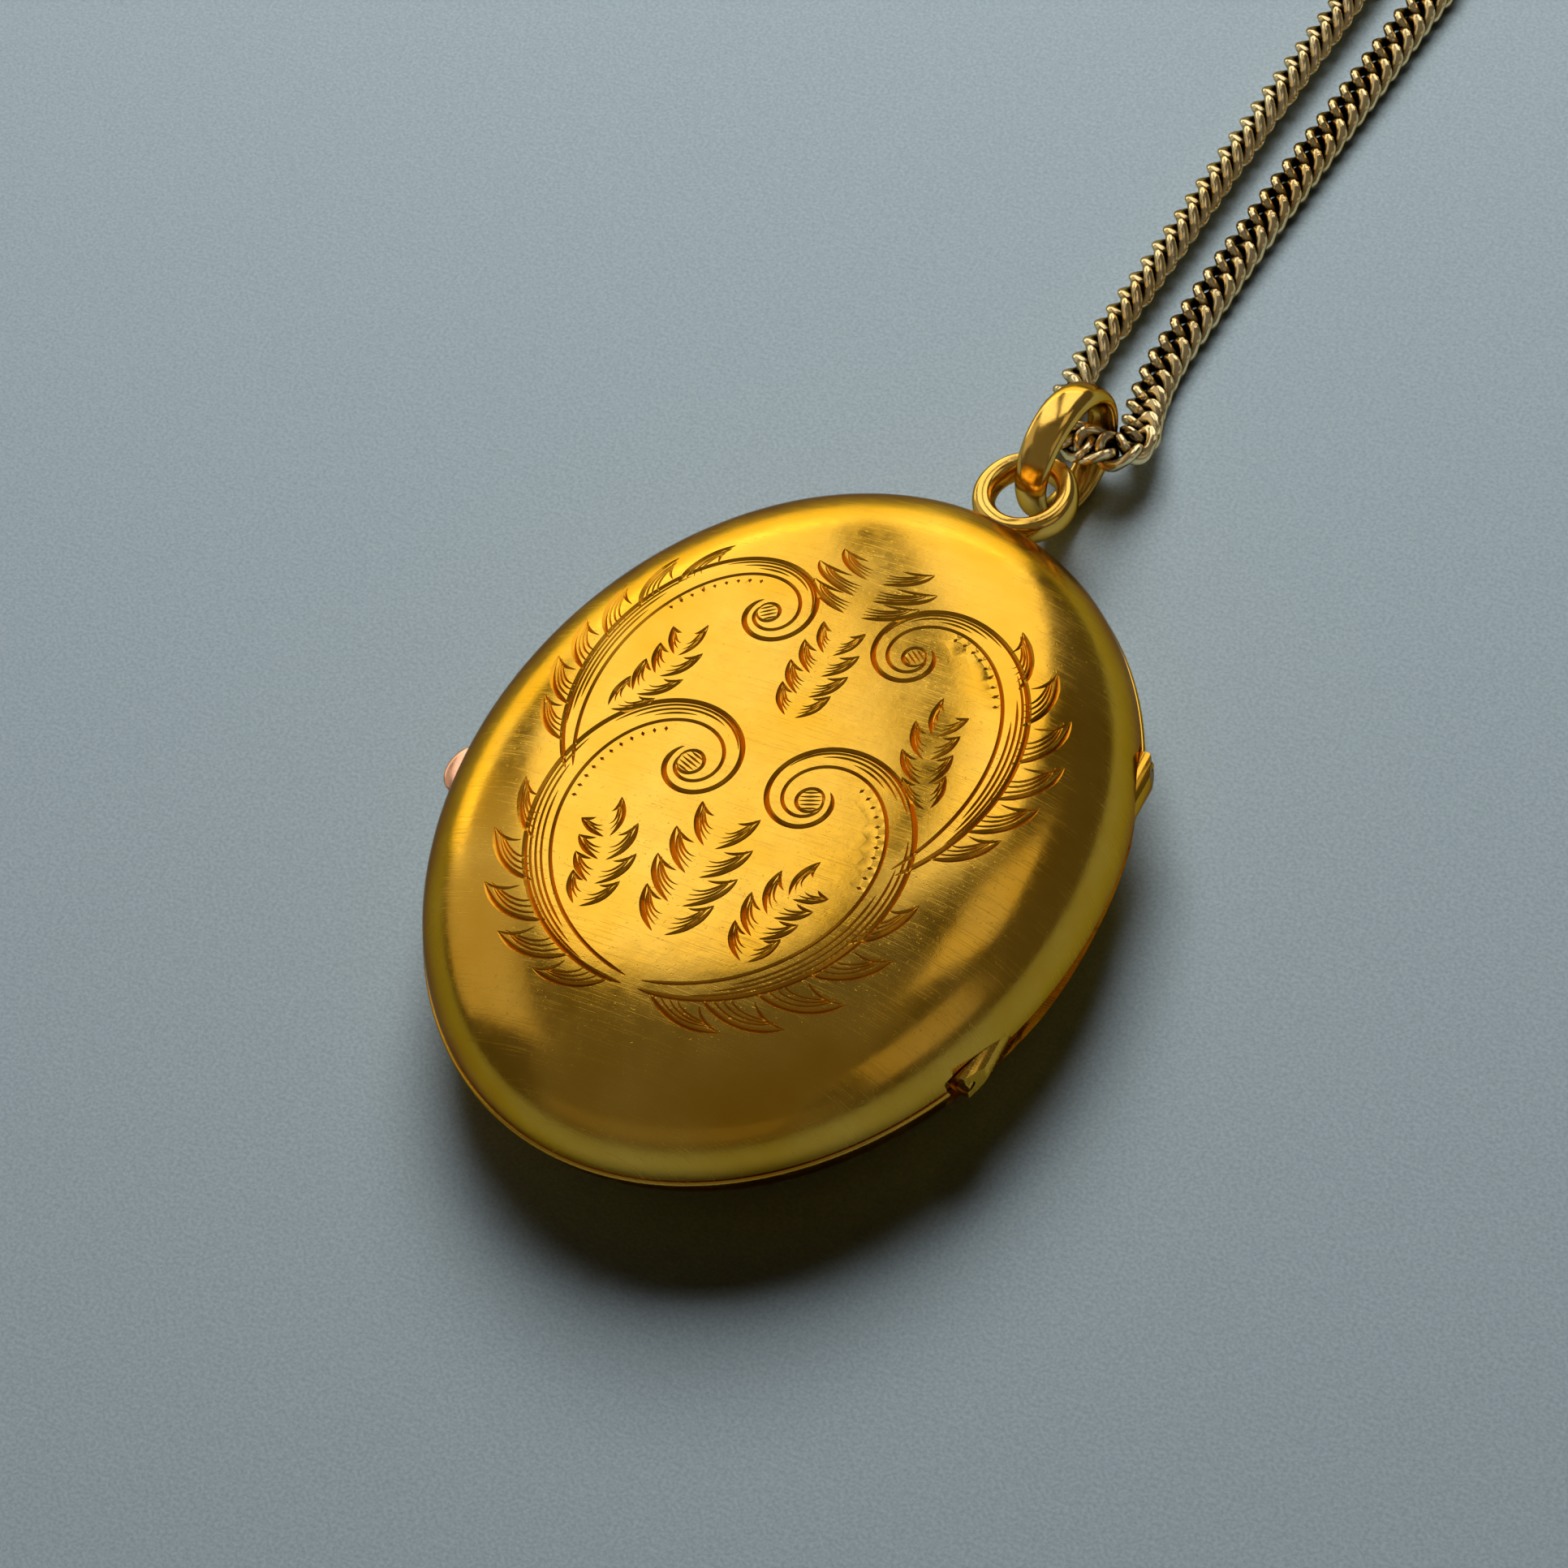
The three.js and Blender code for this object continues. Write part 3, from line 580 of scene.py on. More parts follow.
def add_knuckles(gold):
    """The barrel's knuckles, which ride on the two halves in turn and stand a little proud of the case."""
    pitch = 2 * HINGE_HALF_LENGTH / KNUCKLE_COUNT
    for number in range(KNUCKLE_COUNT):
        low_y = -HINGE_HALF_LENGTH + number * pitch + FIT_GAP
        high_y = low_y + pitch - 2 * FIT_GAP
        name = "knuckle_%d" % (number + 1)
        points, faces = cylinder_along_y(KNUCKLE_RADIUS, low_y, high_y)
        piece = make_piece(name, points, faces, gold, None)
        bevel(piece, 0.05)
        carve(piece, tool_from(*cylinder_along_y(PIN_RADIUS + RUNNING_GAP, low_y - 1, high_y + 1)))
        carve(piece, tool_from(*oval_turned(plate_profile(-KNUCKLE_PROUD, 0, 2 * SEAM_Z))), "INTERSECT")
        smooth_piece(piece)
        dress(piece, "front" if number % 2 else "root", ("hinge_" + name,))


def add_pin(gold):
    half_length = HINGE_HALF_LENGTH - 0.1
    points, faces = cylinder_along_y(PIN_RADIUS, -half_length, half_length)
    piece = make_piece("pin", points, faces, gold, "root", ("hinge_pin",))
    bevel(piece, 0.06)


# ---------------------------------------------------------------- covers and what they hold

def ball(centre, halves, rings=32, sides=64):
    """An ellipsoid with its poles along Z."""
    tilt = np.linspace(0, math.pi, rings + 1)[1:-1]
    angle = circle_angles(sides)
    x = np.outer(np.sin(tilt), np.cos(angle))
    y = np.outer(np.sin(tilt), np.sin(angle))
    z = np.outer(-np.cos(tilt), np.ones(sides))
    points = np.stack([x, y, z], -1).reshape(-1, 3)
    faces = grid_faces(rings - 1, sides, False, True)
    faces += fan(len(points), 0, sides, False)
    faces += fan(len(points) + 1, (rings - 2) * sides, sides, True)
    return np.vstack([points, [0, 0, -1], [0, 0, 1]]) * halves + centre, faces


def nail_nick():
    return ball((-HALF_WIDTH - 0.1, THUMB_Y, SEAM_Z), NICK_HALVES)


def add_back_cover(gold):
    """The plain shell, with a bead at its edge, the hinge's pocket and the nail nick."""
    half = RIM_BEAD_HEIGHT / 2
    bead = []
    for turn in np.radians(np.linspace(-80, 80, 9)):
        bead.append((-RIM_BEAD * math.cos(turn), 1, BACK_RIM_Z - half + half * math.sin(turn)))
    profile = back_dome(0)[::-1][:-1] + bead + back_dome(SHEET)
    points, faces = oval_turned([(0, 0, 0)] + profile[1:-1] + [(0, 0, SHEET)])
    piece = make_piece("back_shell", points, faces, gold, None)
    carve(piece, swing_room(RUNNING_GAP))
    carve(piece, tool_from(*barrel_room(CLEARANCE_RADIUS)))
    carve(piece, tool_from(*nail_nick()))
    smooth_piece(piece, 30)
    dress(piece, "root", ("back_cover",))


def add_pan(half, gold, body):
    """The inner tray. The back one carries the snap rim."""
    floor = PAN_FLOOR_DEPTH
    profile = [(0, 0, floor + PAN_SHEET), (PAN_WALL_INSET, 1, floor + PAN_SHEET),
               (PAN_WALL_INSET, 1, PAN_SHEET), (LEDGE_INSET, 1, PAN_SHEET)]
    if half == "back":
        top = LEDGE_Z["back"] - SEAM_Z - SNAP_RIM_RISE
        inner = SNAP_RIM_INSET + SNAP_RIM_WALL
        profile += [(SNAP_RIM_INSET, 1, 0), (SNAP_RIM_INSET, 1, top), (inner, 1, top), (inner, 1, 0)]
    else:
        profile += [(LEDGE_INSET, 1, 0)]
    wall = PAN_WALL_INSET + PAN_SHEET
    profile += [(wall, 1, 0), (wall, 1, floor), (0, 0, floor)]
    points, faces = oval_turned(half_profile(half, profile))
    piece = make_piece(half + "_tray", points, faces, gold, None)
    carve(piece, tool_from(*pan_hinge_room(half)))
    smooth_piece(piece)
    dress(piece, body, (half + "_pan",))
    bevel(piece, 0.04)


def add_picture_frame(half, gold, body):
    """A collar in the pan, under a rounded flange."""
    outer = PAN_WALL_INSET + PAN_SHEET + FIT_GAP
    inner = outer + COLLAR_WALL
    profile = [(inner, 1, COLLAR_DEPTH), (outer, 1, COLLAR_DEPTH), (outer, 1, FRAME_FOOT)]
    profile.append((FRAME_OUTER_INSET, 1, FRAME_FOOT))
    width = FRAME_INNER_INSET - FRAME_OUTER_INSET
    for turn in np.radians(np.linspace(12, 168, 14)):
        inset = FRAME_OUTER_INSET + width * (1 - math.cos(turn)) / 2
        profile.append((inset, 1, FRAME_FOOT - FRAME_HEIGHT * math.sin(turn)))
    profile += [(FRAME_INNER_INSET, 1, FRAME_FOOT), (inner, 1, FRAME_FOOT), (inner, 1, COLLAR_DEPTH)]
    points, faces = oval_turned(half_profile(half, profile))
    nodes = (half + "_picture_frame",)
    piece = make_piece(half + "_frame", points, faces, gold, body, nodes)
    bevel(piece, 0.03)


def add_layers(half, finishes, body):
    """Window, paper and card, one behind another in the frame."""
    for slot, node, near, far in LAYERS:
        profile = [(0, 0, far), (LAYER_INSET, 1, far), (LAYER_INSET, 1, near), (0, 0, near)]
        points, faces = oval_turned(half_profile(half, profile))
        nodes = (half + "_" + node,)
        piece = make_piece(half + "_" + slot, points, faces, finishes[slot], body, nodes)
        bevel(piece, 0.02)


def add_thumb_piece(rose):
    """A small lip on the front's edge, over the nail nick."""
    points, faces = ball((-HALF_WIDTH + 0.15, THUMB_Y, SEAM_Z + 0.33), THUMB_HALVES)
    piece = make_piece("thumb_lip", points, faces, rose, None)
    carve(piece, tool_from(*front_filled(-FIT_GAP)))
    smooth_piece(piece)
    dress(piece, "front", ("thumb_piece",))


# ---------------------------------------------------------------- hanger

def ripple(points, size, height, seed):
    """Moves points by a few slow waves, as a hand-made wire's unevenness."""
    rng = np.random.default_rng(seed)
    moved = points.copy()
    for _ in range(8):
        direction = unit(rng.normal(size=3))
        push = unit(rng.normal(size=3))
        phase = rng.uniform(0, 2 * math.pi)
        wave = np.sin(points @ direction * (2 * math.pi / size) + phase)
        moved += wave[:, None] * push * height / 4
    return moved


def ring_points(rounds=128, sides=28):
    """The hanging ring: thick wire, taller than it is wide, with its edges worn round."""
    angle, turn = circle_angles(rounds), circle_angles(sides)
    path = RING + RING_RADIUS * np.stack([np.cos(angle), np.sin(angle), np.zeros(rounds)], -1)
    across = (RING_WIRE + RING_WEAR) * softened(np.cos(turn), 0.8)
    above = (RING_WIRE_TALL + RING_WEAR) * softened(np.sin(turn), 0.8)
    points, faces = tube(path, np.stack([across, above], -1), closed=True)
    return points, [face[::-1] for face in faces]


def add_ring(gold):
    points, faces = ring_points()
    points = ripple(points, 1.6, 0.02, 3)
    make_piece("ring", points, faces, gold, "root", ("hanging_ring",), sharp=60)


def add_ring_foot(gold):
    """Solder that runs from the ring onto the back cover's edge."""
    points, faces = ball((RING[0], HALF_LENGTH - 0.25, RING[2] - 0.08), FOOT_HALVES)
    piece = make_piece("foot", points, faces, gold, None)
    profile = [(0, 0, 0)] + back_dome(-RIM_BEAD - FIT_GAP)[::-1] + [(0, 0, BACK_RIM_Z)]
    carve(piece, tool_from(*oval_turned(profile)))
    carve(piece, tool_from(*ring_points()))
    smooth_piece(piece, 50)
    dress(piece, "root", ("ring_foot",))


def add_bail(gold, rounds=144, sides=28):
    """A loop of D wire, thicker and wider at its top."""
    along = np.array([math.sin(BAIL_YAW), math.cos(BAIL_YAW), 0])
    side = np.cross(along, (0, 0, 1))
    section = circle_angles(sides)
    flatter_inside = np.where(np.cos(section) < 0, 0.8, 1.0)
    rings = []
    for turn in circle_angles(rounds):
        top = max(0.0, math.sin(turn)) ** 2
        thick = (BAIL_HALF_THICK + BAIL_TOP_THICKER * top) * flatter_inside
        out = thick * softened(np.cos(section), 0.85)
        wide = (BAIL_HALF_WIDTH + BAIL_TOP_WIDER * top) * softened(np.sin(section), 0.85)
        outward = unit(np.array([math.cos(turn) * BAIL_HALF_TALL, math.sin(turn) * BAIL_HALF_LONG]))
        reach = math.cos(turn) * BAIL_HALF_LONG + outward[0] * out
        rise = math.sin(turn) * BAIL_HALF_TALL + outward[1] * out
        rings.append(BAIL + np.outer(reach, along) + np.outer(rise, (0, 0, 1)) + np.outer(wide, side))
    points = ripple(np.vstack(rings), 2.2, 0.02, 5)
    faces = grid_faces(rounds, sides, True, True)
    make_piece("bail_loop", points, faces, gold, "bail", ("bail",), sharp=60)


# ---------------------------------------------------------------- chain

def spline_through(route, step):
    """A smooth centripetal curve through the points, sampled every step millimetres or so."""
    route = np.asarray(route, float)
    route = np.vstack([2 * route[0] - route[1], route, 2 * route[-1] - route[-2]])
    samples = []
    for p0, p1, p2, p3 in zip(route, route[1:], route[2:], route[3:]):
        t1 = math.sqrt(np.linalg.norm(p1 - p0))
        t2 = t1 + math.sqrt(np.linalg.norm(p2 - p1))
        t3 = t2 + math.sqrt(np.linalg.norm(p3 - p2))
        count = max(2, round(np.linalg.norm(p2 - p1) / step))
        t = np.linspace(t1, t2, count, endpoint=False)[:, None]
        a1 = (t1 - t) / t1 * p0 + t / t1 * p1
        a2 = (t2 - t) / (t2 - t1) * p1 + (t - t1) / (t2 - t1) * p2
        a3 = (t3 - t) / (t3 - t2) * p2 + (t - t2) / (t3 - t2) * p3
        b1 = (t2 - t) / t2 * a1 + t / t2 * a2
        b2 = (t3 - t) / (t3 - t1) * a2 + (t - t1) / (t3 - t1) * a3
        samples.append((t2 - t) / (t2 - t1) * b1 + (t - t1) / (t2 - t1) * b2)
    return np.vstack(samples + [route[-2][None]])


def coil_path(side, per_turn=48):
    """Turns laid beside each other, then a short end that rises to the clasp."""
    turns, layer = COIL_TURNS[side], LAYER_Z[side]
    share = np.linspace(0, 1, round(turns * per_turn))[1:, None]
    lift = np.linspace(0, 1, 13)[1:, None]
    wound_angle = share * turns * 2 * math.pi
    tail_angle = turns * 2 * math.pi + lift * math.radians(COIL_TAIL_ANGLE)
    angle = np.vstack([wound_angle, tail_angle])
    radius = np.vstack([COIL_START + (COIL_END - COIL_START) * share,
                        COIL_END + (COIL_TAIL_RADIUS - COIL_END) * lift])
    z = np.vstack([np.full_like(share, layer), layer + (COIL_TAIL_Z - layer) * lift])
    return np.hstack([radius * np.cos(angle), radius * np.sin(angle), z]) + COIL


def resampled(path, spacing, offset=0.0, near=0.3):
    """Points and directions along a path, spacing apart, with their distances from its start."""
    along = distances_along(path)
    at = np.arange(offset, along[-1], spacing)

    def place_at(distance):
        return np.stack([np.interp(distance, along, path[:, axis]) for axis in range(3)], -1)

    return place_at(at), unit(place_at(at + near) - place_at(at - near)), at


def link_shape(rounds=36, sides=12):
    """One curb link: an oval of wire twisted end to end, with its faces filed flat."""
    half_long = (LINK_PITCH + LINK_WIRE) / 2
    half_wide = (LINK_WIDTH - LINK_WIRE) / 2
    turn = circle_angles(rounds)
    x = half_long * softened(np.cos(turn), 0.85)
    y = half_wide * softened(np.sin(turn), 0.85)
    path = np.stack([x, y, np.zeros(rounds)], -1)
    points, faces = tube(path, round_section(LINK_WIRE / 2, sides), closed=True)
    twist = LINK_TWIST * points[:, 0] / half_long
    y = points[:, 1] * np.cos(twist) - points[:, 2] * np.sin(twist)
    z = points[:, 1] * np.sin(twist) + points[:, 2] * np.cos(twist)
    filed_y, filed_z = filed(y, FILED_HALF_WIDTH), filed(z, FILED_HALF_THICK)
    return np.stack([points[:, 0], filed_y, filed_z], -1), faces


def filed(height, limit):
    """Heights held to a limit, as a file would leave them, with a trace of crown."""
    over = np.maximum(np.abs(height) - limit, 0)
    return np.sign(height) * (np.minimum(np.abs(height), limit) + over * FILED_CROWN)


def chain_links(path, side):
    """Links at equal steps along the path, rolled about it as the strand lies, and none below the floor."""
    link, link_faces = link_shape()
    places, forward, at = resampled(path, LINK_PITCH, LINK_PITCH / 2 - 0.15)
    route_length = path_length(spline_through(CHAIN_ROUTES[side], 0.1))
    rng = np.random.default_rng(ROLL_SEEDS[side])
    parts = []
    for place, ahead, distance in zip(places, forward, at):
        across = unit(np.cross(ahead, (0, 0, 1)))
        above = np.cross(across, ahead)
        lying = np.clip((route_length - distance) / 8, 0, 1)
        roll = math.radians(ROLLS[side] * lying + rng.normal(0, ROLL_UNEVENNESS))
        turned_across = across * math.cos(roll) + above * math.sin(roll)
        turned_above = above * math.cos(roll) - across * math.sin(roll)
        points = place + link @ np.array([ahead, turned_across, turned_above])
        points[:, 2] += max(0.0, -points[:, 2].min())
        parts.append((points, link_faces))
    return join_meshes(parts)


def chain_path(side):
    return np.vstack([spline_through(CHAIN_ROUTES[side], 0.25), coil_path(side)])


def add_chain(side, chain_gold):
    """One strand of links and its path."""
    path = chain_path(side)
    points, faces = chain_links(path, side)
    nodes = ["chain_%s_%s" % (side, part) for part in ("eye", "strand", "coil")]
    piece = make_piece("chain_" + side, points, faces, chain_gold, None, nodes, sharp=30)
    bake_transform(piece)
    return piece, path


def path_length(path):
    return float(distances_along(path)[-1])


# ---------------------------------------------------------------- clasp

def clasp_tube(radius, angles, thickness, sides=20, step=3):
    """A bent rod round the clasp's middle."""
    angle = np.radians(np.arange(angles[0], angles[1] + step, step))
    flat = np.stack([radius * np.cos(angle), radius * np.sin(angle), np.full(len(angle), CLASP_Z)], -1)
    return tube(flat + COIL, round_section(thickness, sides))


def add_clasp_body(chain_gold):
    """A ring with a gap. The cuts for its bore and its slot fail, so it comes out solid."""
    points, faces = clasp_tube(CLASP_RADIUS, CLASP_ANGLES, CLASP_TUBE)
    body = make_piece("clasp_ring", points, faces, chain_gold, None)
    bore = (CLASP_ANGLES[0] - BORE_OVERRUN, CLASP_ANGLES[1] + BORE_OVERRUN)
    carve(body, tool_from(*clasp_tube(CLASP_RADIUS, bore, CLASP_BORE)))
    carve(body, tool_from(*clasp_tube(CLASP_RADIUS + 0.45, SLOT_ANGLES, SLOT_HALF_WIDTH, 12)))
    smooth_piece(body)
    dress(body, "root", ("clasp_body",))
    return body


def add_clasp_bolt(chain_gold):
    """A rod with its knob, and a thin tail that slides inside the spring."""
    rod = clasp_tube(CLASP_RADIUS, BOLT_ANGLES, BOLT_RADIUS)
    tail = clasp_tube(CLASP_RADIUS, TAIL_ANGLES, TAIL_RADIUS)
    out = level_direction(KNOB_ANGLE)
    start = COIL + out * CLASP_RADIUS + (0, 0, CLASP_Z)
    post = tube([start, start + out * 0.45, start + out * 0.9], round_section(KNOB_POST))
    knob = ball(start + out * KNOB_REACH, (KNOB_RADIUS, KNOB_RADIUS, KNOB_RADIUS), 12, 20)
    points, faces = join_meshes([rod, tail, post, knob])
    return make_piece("clasp_catch", points, faces, chain_gold, "clasp_bolt", ("clasp_bolt",))


def add_clasp_spring(steel):
    """The spring at its shortest, in the closed end of the tube."""
    share = np.linspace(0, 1, SPRING_TURNS * 14)
    first, last = SPRING_ANGLES
    arc = np.radians(first + (last - first) * share)
    wind = share * SPRING_TURNS * 2 * math.pi
    reach = CLASP_RADIUS + SPRING_COIL * np.cos(wind)
    rise = CLASP_Z + SPRING_COIL * np.sin(wind)
    coil = np.stack([reach * np.cos(arc), reach * np.sin(arc), rise], -1) + COIL
    points, faces = tube(coil, round_section(SPRING_WIRE, 8))
    make_piece("clasp_coil_spring", points, faces, steel, "root", ("clasp_spring",))


def add_end_ring(name, node, degrees, chain_gold):
    """A small upright ring on the clasp, where a strand ends."""
    out = level_direction(degrees)
    centre = COIL + out * (CLASP_RADIUS + 0.45) + (0, 0, END_RING_RADIUS + END_RING_WIRE + 0.02)
    angle = circle_angles(64)
    path = centre + END_RING_RADIUS * (np.outer(np.cos(angle), out) + np.outer(np.sin(angle), (0, 0, 1)))
    section = round_section(END_RING_WIRE, 16)
    points, faces = tube(path, section, closed=True, up=np.cross(out, (0, 0, 1)))
    return make_piece(name, points, faces, chain_gold, "root", (node,), sharp=60)


# ---------------------------------------------------------------- ornament

def curl(start, heading, length, bend, tight, power=3.2, step=0.12):
    """A scroll whose curvature goes from bend to tight, in 1/mm, to the left where positive."""
    count = max(8, int(length / step))
    share = (np.arange(count) + 0.5) / count
    curvature = bend + (tight - bend) * share ** power
    angle = math.radians(heading) + np.cumsum(curvature) * length / count
    steps = np.stack([np.cos(angle), np.sin(angle)], -1) * length / count
    return np.vstack([start, start + np.cumsum(steps, 0)])


def beside(path, away):
    """The path moved to its left by a distance or by one distance for each point."""
    ahead = unit(np.gradient(path, axis=0))
    left = np.stack([-ahead[:, 1], ahead[:, 0]], -1)
    return path + left * np.broadcast_to(away, len(path))[:, None]


def shares_of(path):
    along = distances_along(path)
    return along / along[-1]


def place_on(path, share, away=0.0):
    shares = shares_of(path)
    moved = beside(path, away)
    return np.array([np.interp(share, shares, moved[:, 0]), np.interp(share, shares, moved[:, 1])])


def heading_on(path, share):
    ahead = place_on(path, min(1, share + 0.01)) - place_on(path, max(0, share - 0.01))
    return math.degrees(math.atan2(ahead[1], ahead[0]))


def part_of(path, first, last):
    shares = shares_of(path)
    return path[(shares >= first) & (shares <= last)]


def bent(start, pull, end, steps=10):
    """A short curve from start to end, pulled towards a third point."""
    t = np.linspace(0, 1, steps)[:, None]
    return (1 - t) ** 2 * start + 2 * t * (1 - t) * pull + t ** 2 * end


def stem(path, wide, shading=((0.1, 0.55),)):
    """A scroll's stem: two lines that part in the middle, with hairlines along the shaded side."""
    shares = shares_of(path)
    half = wide / 2 * (0.3 + 0.7 * np.sin(np.pi * shares ** 0.8))
    strokes = [(beside(path, half), FINE), (beside(path, -half), BOLD)]
    for first, last in shading:
        for line in range(3):
            kept = (shares > first + 0.03 * line) & (shares < last - 0.05 * line)
            inner = beside(path, half * (-0.55 + 0.42 * line))[kept]
            if len(inner) > 8:
                strokes.append((inner, HAIRLINE))
    return strokes


def bud(centre, radius, tilt):
    """The round end of a scroll, hatched."""
    turn = np.linspace(0, 2 * math.pi, 26)
    strokes = [(centre + radius * np.stack([np.cos(turn), np.sin(turn)], -1), FINE)]
    along = np.array([math.cos(math.radians(tilt)), math.sin(math.radians(tilt))])
    across = np.array([-along[1], along[0]])
    for row in np.arange(-radius + 0.18, radius - 0.1, 0.21):
        half = math.sqrt(radius ** 2 - row ** 2) * 0.86
        middle = centre + across * row
        strokes.append((np.array([middle - along * half, middle, middle + along * half]), HAIRLINE))
    return strokes


def leaf(spine, side, size, lobes, veins=3):
    """Acanthus along one side of a spine: lobes that lean forward to a point, veined from the spine."""
    strokes = []
    for lobe in range(lobes):
        root, foot, tip = [(lobe + ahead) / (lobes + 0.6) for ahead in (0, 1, 1.35)]
        reach = side * size * (0.55 + 0.45 * math.sin(math.pi * (lobe + 0.9) / (lobes + 0.4)))
        point = place_on(spine, min(tip, 1), reach)
        notch = place_on(spine, foot, reach * 0.34)
        strokes.append((bent(place_on(spine, root, reach * 0.12),
                             place_on(spine, (root + foot) / 2, reach * 0.95), point), BOLD))
        strokes.append((bent(point, place_on(spine, foot, reach * 0.75), notch), FINE))
        for vein in range(1, veins + 1):
            lean = vein / (veins + 1)
            start = place_on(spine, root + (foot - root) * lean * 0.8, reach * 0.1)
            pull = place_on(spine, (root + foot) / 2, reach * (0.95 - 0.6 * lean))
            strokes.append((bent(start, pull, point * 0.8 + notch * 0.2), HAIRLINE))
    return strokes


def ticks(path, first, last, count, size):
    """A row of small cuts, pointing away from the path's left side."""
    strokes = []
    for share in np.linspace(first, last, count):
        foot = place_on(path, share)
        end = place_on(path, share, size)
        strokes.append((np.array([foot, (foot + end) / 2, end]), FINE))
    return strokes


def scroll(path, wide, shading, bud_radius, tilt):
    """A stem that rolls up round a hatched bud."""
    return stem(path, wide, shading) + bud(place_on(path, 1, bud_radius + 0.12), bud_radius, tilt)


def half_ornament():
    """The right half: scrolls with leaves along their backs, and half of a crest."""
    low = curl((0.35, -12.1), 4, 28.5, 0.118, 1.15, 4.6)
    middle = curl(place_on(low, 0.46), heading_on(low, 0.46) - 42, 24.5, 0.096, 1.25, 4.2)
    sprig = curl(place_on(low, 0.17, 1.1), heading_on(low, 0.17) + 62, 5.6, -0.12, -0.35, 1.6)
    tendril = curl(place_on(middle, 0.14, 1.6), heading_on(middle, 0.14) + 52, 6.0, -0.1, -0.3, 1.6)
    strokes = scroll(low, 1.25, ((0.08, 0.52), (0.56, 0.8)), 0.62, 20)
    strokes += scroll(middle, 1.1, ((0.1, 0.5), (0.56, 0.8)), 0.52, -35)
    strokes += leaf(part_of(low, 0.02, 0.45), -1, 2.5, 5)
    strokes += leaf(part_of(middle, 0.06, 0.6), -1, 2.4, 6)
    strokes += leaf(sprig, 1, 1.5, 4, 2) + leaf(sprig, -1, 1.3, 4, 2)
    strokes += leaf(tendril, 1, 1.2, 4, 2) + leaf(tendril, -1, 1.1, 4, 2)
    strokes += ticks(beside(low, 0.85), 0.5, 0.76, 11, 0.3)
    strokes += ticks(beside(middle, 0.75), 0.52, 0.76, 9, 0.26)
    for low_y, high_y, size, lobes in ((8.6, 12.4, 2.9, 3), (2.6, 8.2, 1.35, 4), (-9.6, -2.4, 1.9, 4)):
        crest = np.stack([np.full(30, 0.1), np.linspace(low_y, high_y, 30)], -1)
        strokes += leaf(crest, -1, size, lobes)
    return strokes


def ornament():
    """Generic leaf scrolls, mirrored about the locket's long axis, as (path, width) graver strokes."""
    right = half_ornament()
    left = [(path * (-1, 1), width) for path, width in right]
    return right + left


# ---------------------------------------------------------------- engraved front cover

def chart_table():
    """Reach and rise against distance along the dome, so that the sides get as many points as the top."""
    angle = np.linspace(0, math.pi / 2, 4000)
    reach, rise = np.sin(angle) ** (2 / SHOULDER_POWER), np.cos(angle)
    mean_radius = (HALF_WIDTH + HALF_LENGTH) / 2
    steps = np.hypot(np.diff(reach) * mean_radius, np.diff(rise) * FRONT_RISE) / mean_radius
    return np.concatenate([[0], np.cumsum(steps)]), reach, rise


CHART, REACH, RISE = chart_table()


def to_chart(points):
    reach = np.hypot(points[:, 0] / HALF_WIDTH, points[:, 1] / HALF_LENGTH)
    share = np.interp(reach, REACH, CHART) / np.maximum(reach, 1e-9)
    return points * share[:, None]


def dome_normals(points):
    """Outward directions of the front dome at points on it."""
    x, y = points[:, 0], points[:, 1]
    reach = np.maximum(np.hypot(x / HALF_WIDTH, y / HALF_LENGTH), 1e-6)
    pull = SHOULDER_POWER * reach ** (SHOULDER_POWER - 2)
    rise = (points[:, 2] - FRONT_RIM_Z) / FRONT_RISE
    slopes = [pull * x / HALF_WIDTH ** 2, pull * y / HALF_LENGTH ** 2, 2 * rise / FRONT_RISE]
    return unit(np.stack(slopes, -1))


def dome_miss(points):
    """How far points are off the front dome, as a share of its height."""
    reach = np.hypot(points[:, 0] / HALF_WIDTH, points[:, 1] / HALF_LENGTH)
    rise = (points[:, 2] - FRONT_RIM_Z) / FRONT_RISE
    return np.abs(reach ** SHOULDER_POWER + rise ** 2 - 1)


def from_chart(chart):
    along = np.hypot(chart[:, 0] / HALF_WIDTH, chart[:, 1] / HALF_LENGTH)
    reach = np.interp(along, CHART, REACH)
    rise = np.interp(along, CHART, RISE)
    flat = chart * (reach / np.maximum(along, 1e-9))[:, None]
    return np.hstack([flat, (FRONT_RIM_Z + FRONT_RISE * rise)[:, None]])


def fill_points(spacing):
    """Evenly spread chart points on rings inside the rim."""
    rings = []
    count = round(CHART[-1] * 17 / spacing)
    for ring in range(1, count):
        along = CHART[-1] * ring / count
        number = max(6, round(2 * math.pi * 17 * along / spacing))
        angle = (np.arange(number) + 0.5 * (ring % 2)) / number * 2 * math.pi
        x, y = HALF_WIDTH * along * np.cos(angle), HALF_LENGTH * along * np.sin(angle)
        rings.append(np.stack([x, y], -1))
    return np.vstack(rings)


def stroke_samples(stroke, step=0.13):
    """Places, across directions and half widths along a graver stroke, tapered at both ends."""
    path, width = stroke
    lengths = distances_along(path)
    count = max(3, round(lengths[-1] / step))
    at = np.linspace(0, lengths[-1], count)
    places = np.stack([np.interp(at, lengths, path[:, axis]) for axis in range(2)], -1)
    ahead = unit(np.gradient(places, axis=0))
    across = np.stack([-ahead[:, 1], ahead[:, 0]], -1)
    taper_length = min(0.9, lengths[-1] * 0.45)
    ends = np.minimum(at, lengths[-1] - at) / taper_length
    return places, across, width / 2 * np.clip(ends, 0, 1) ** 0.6


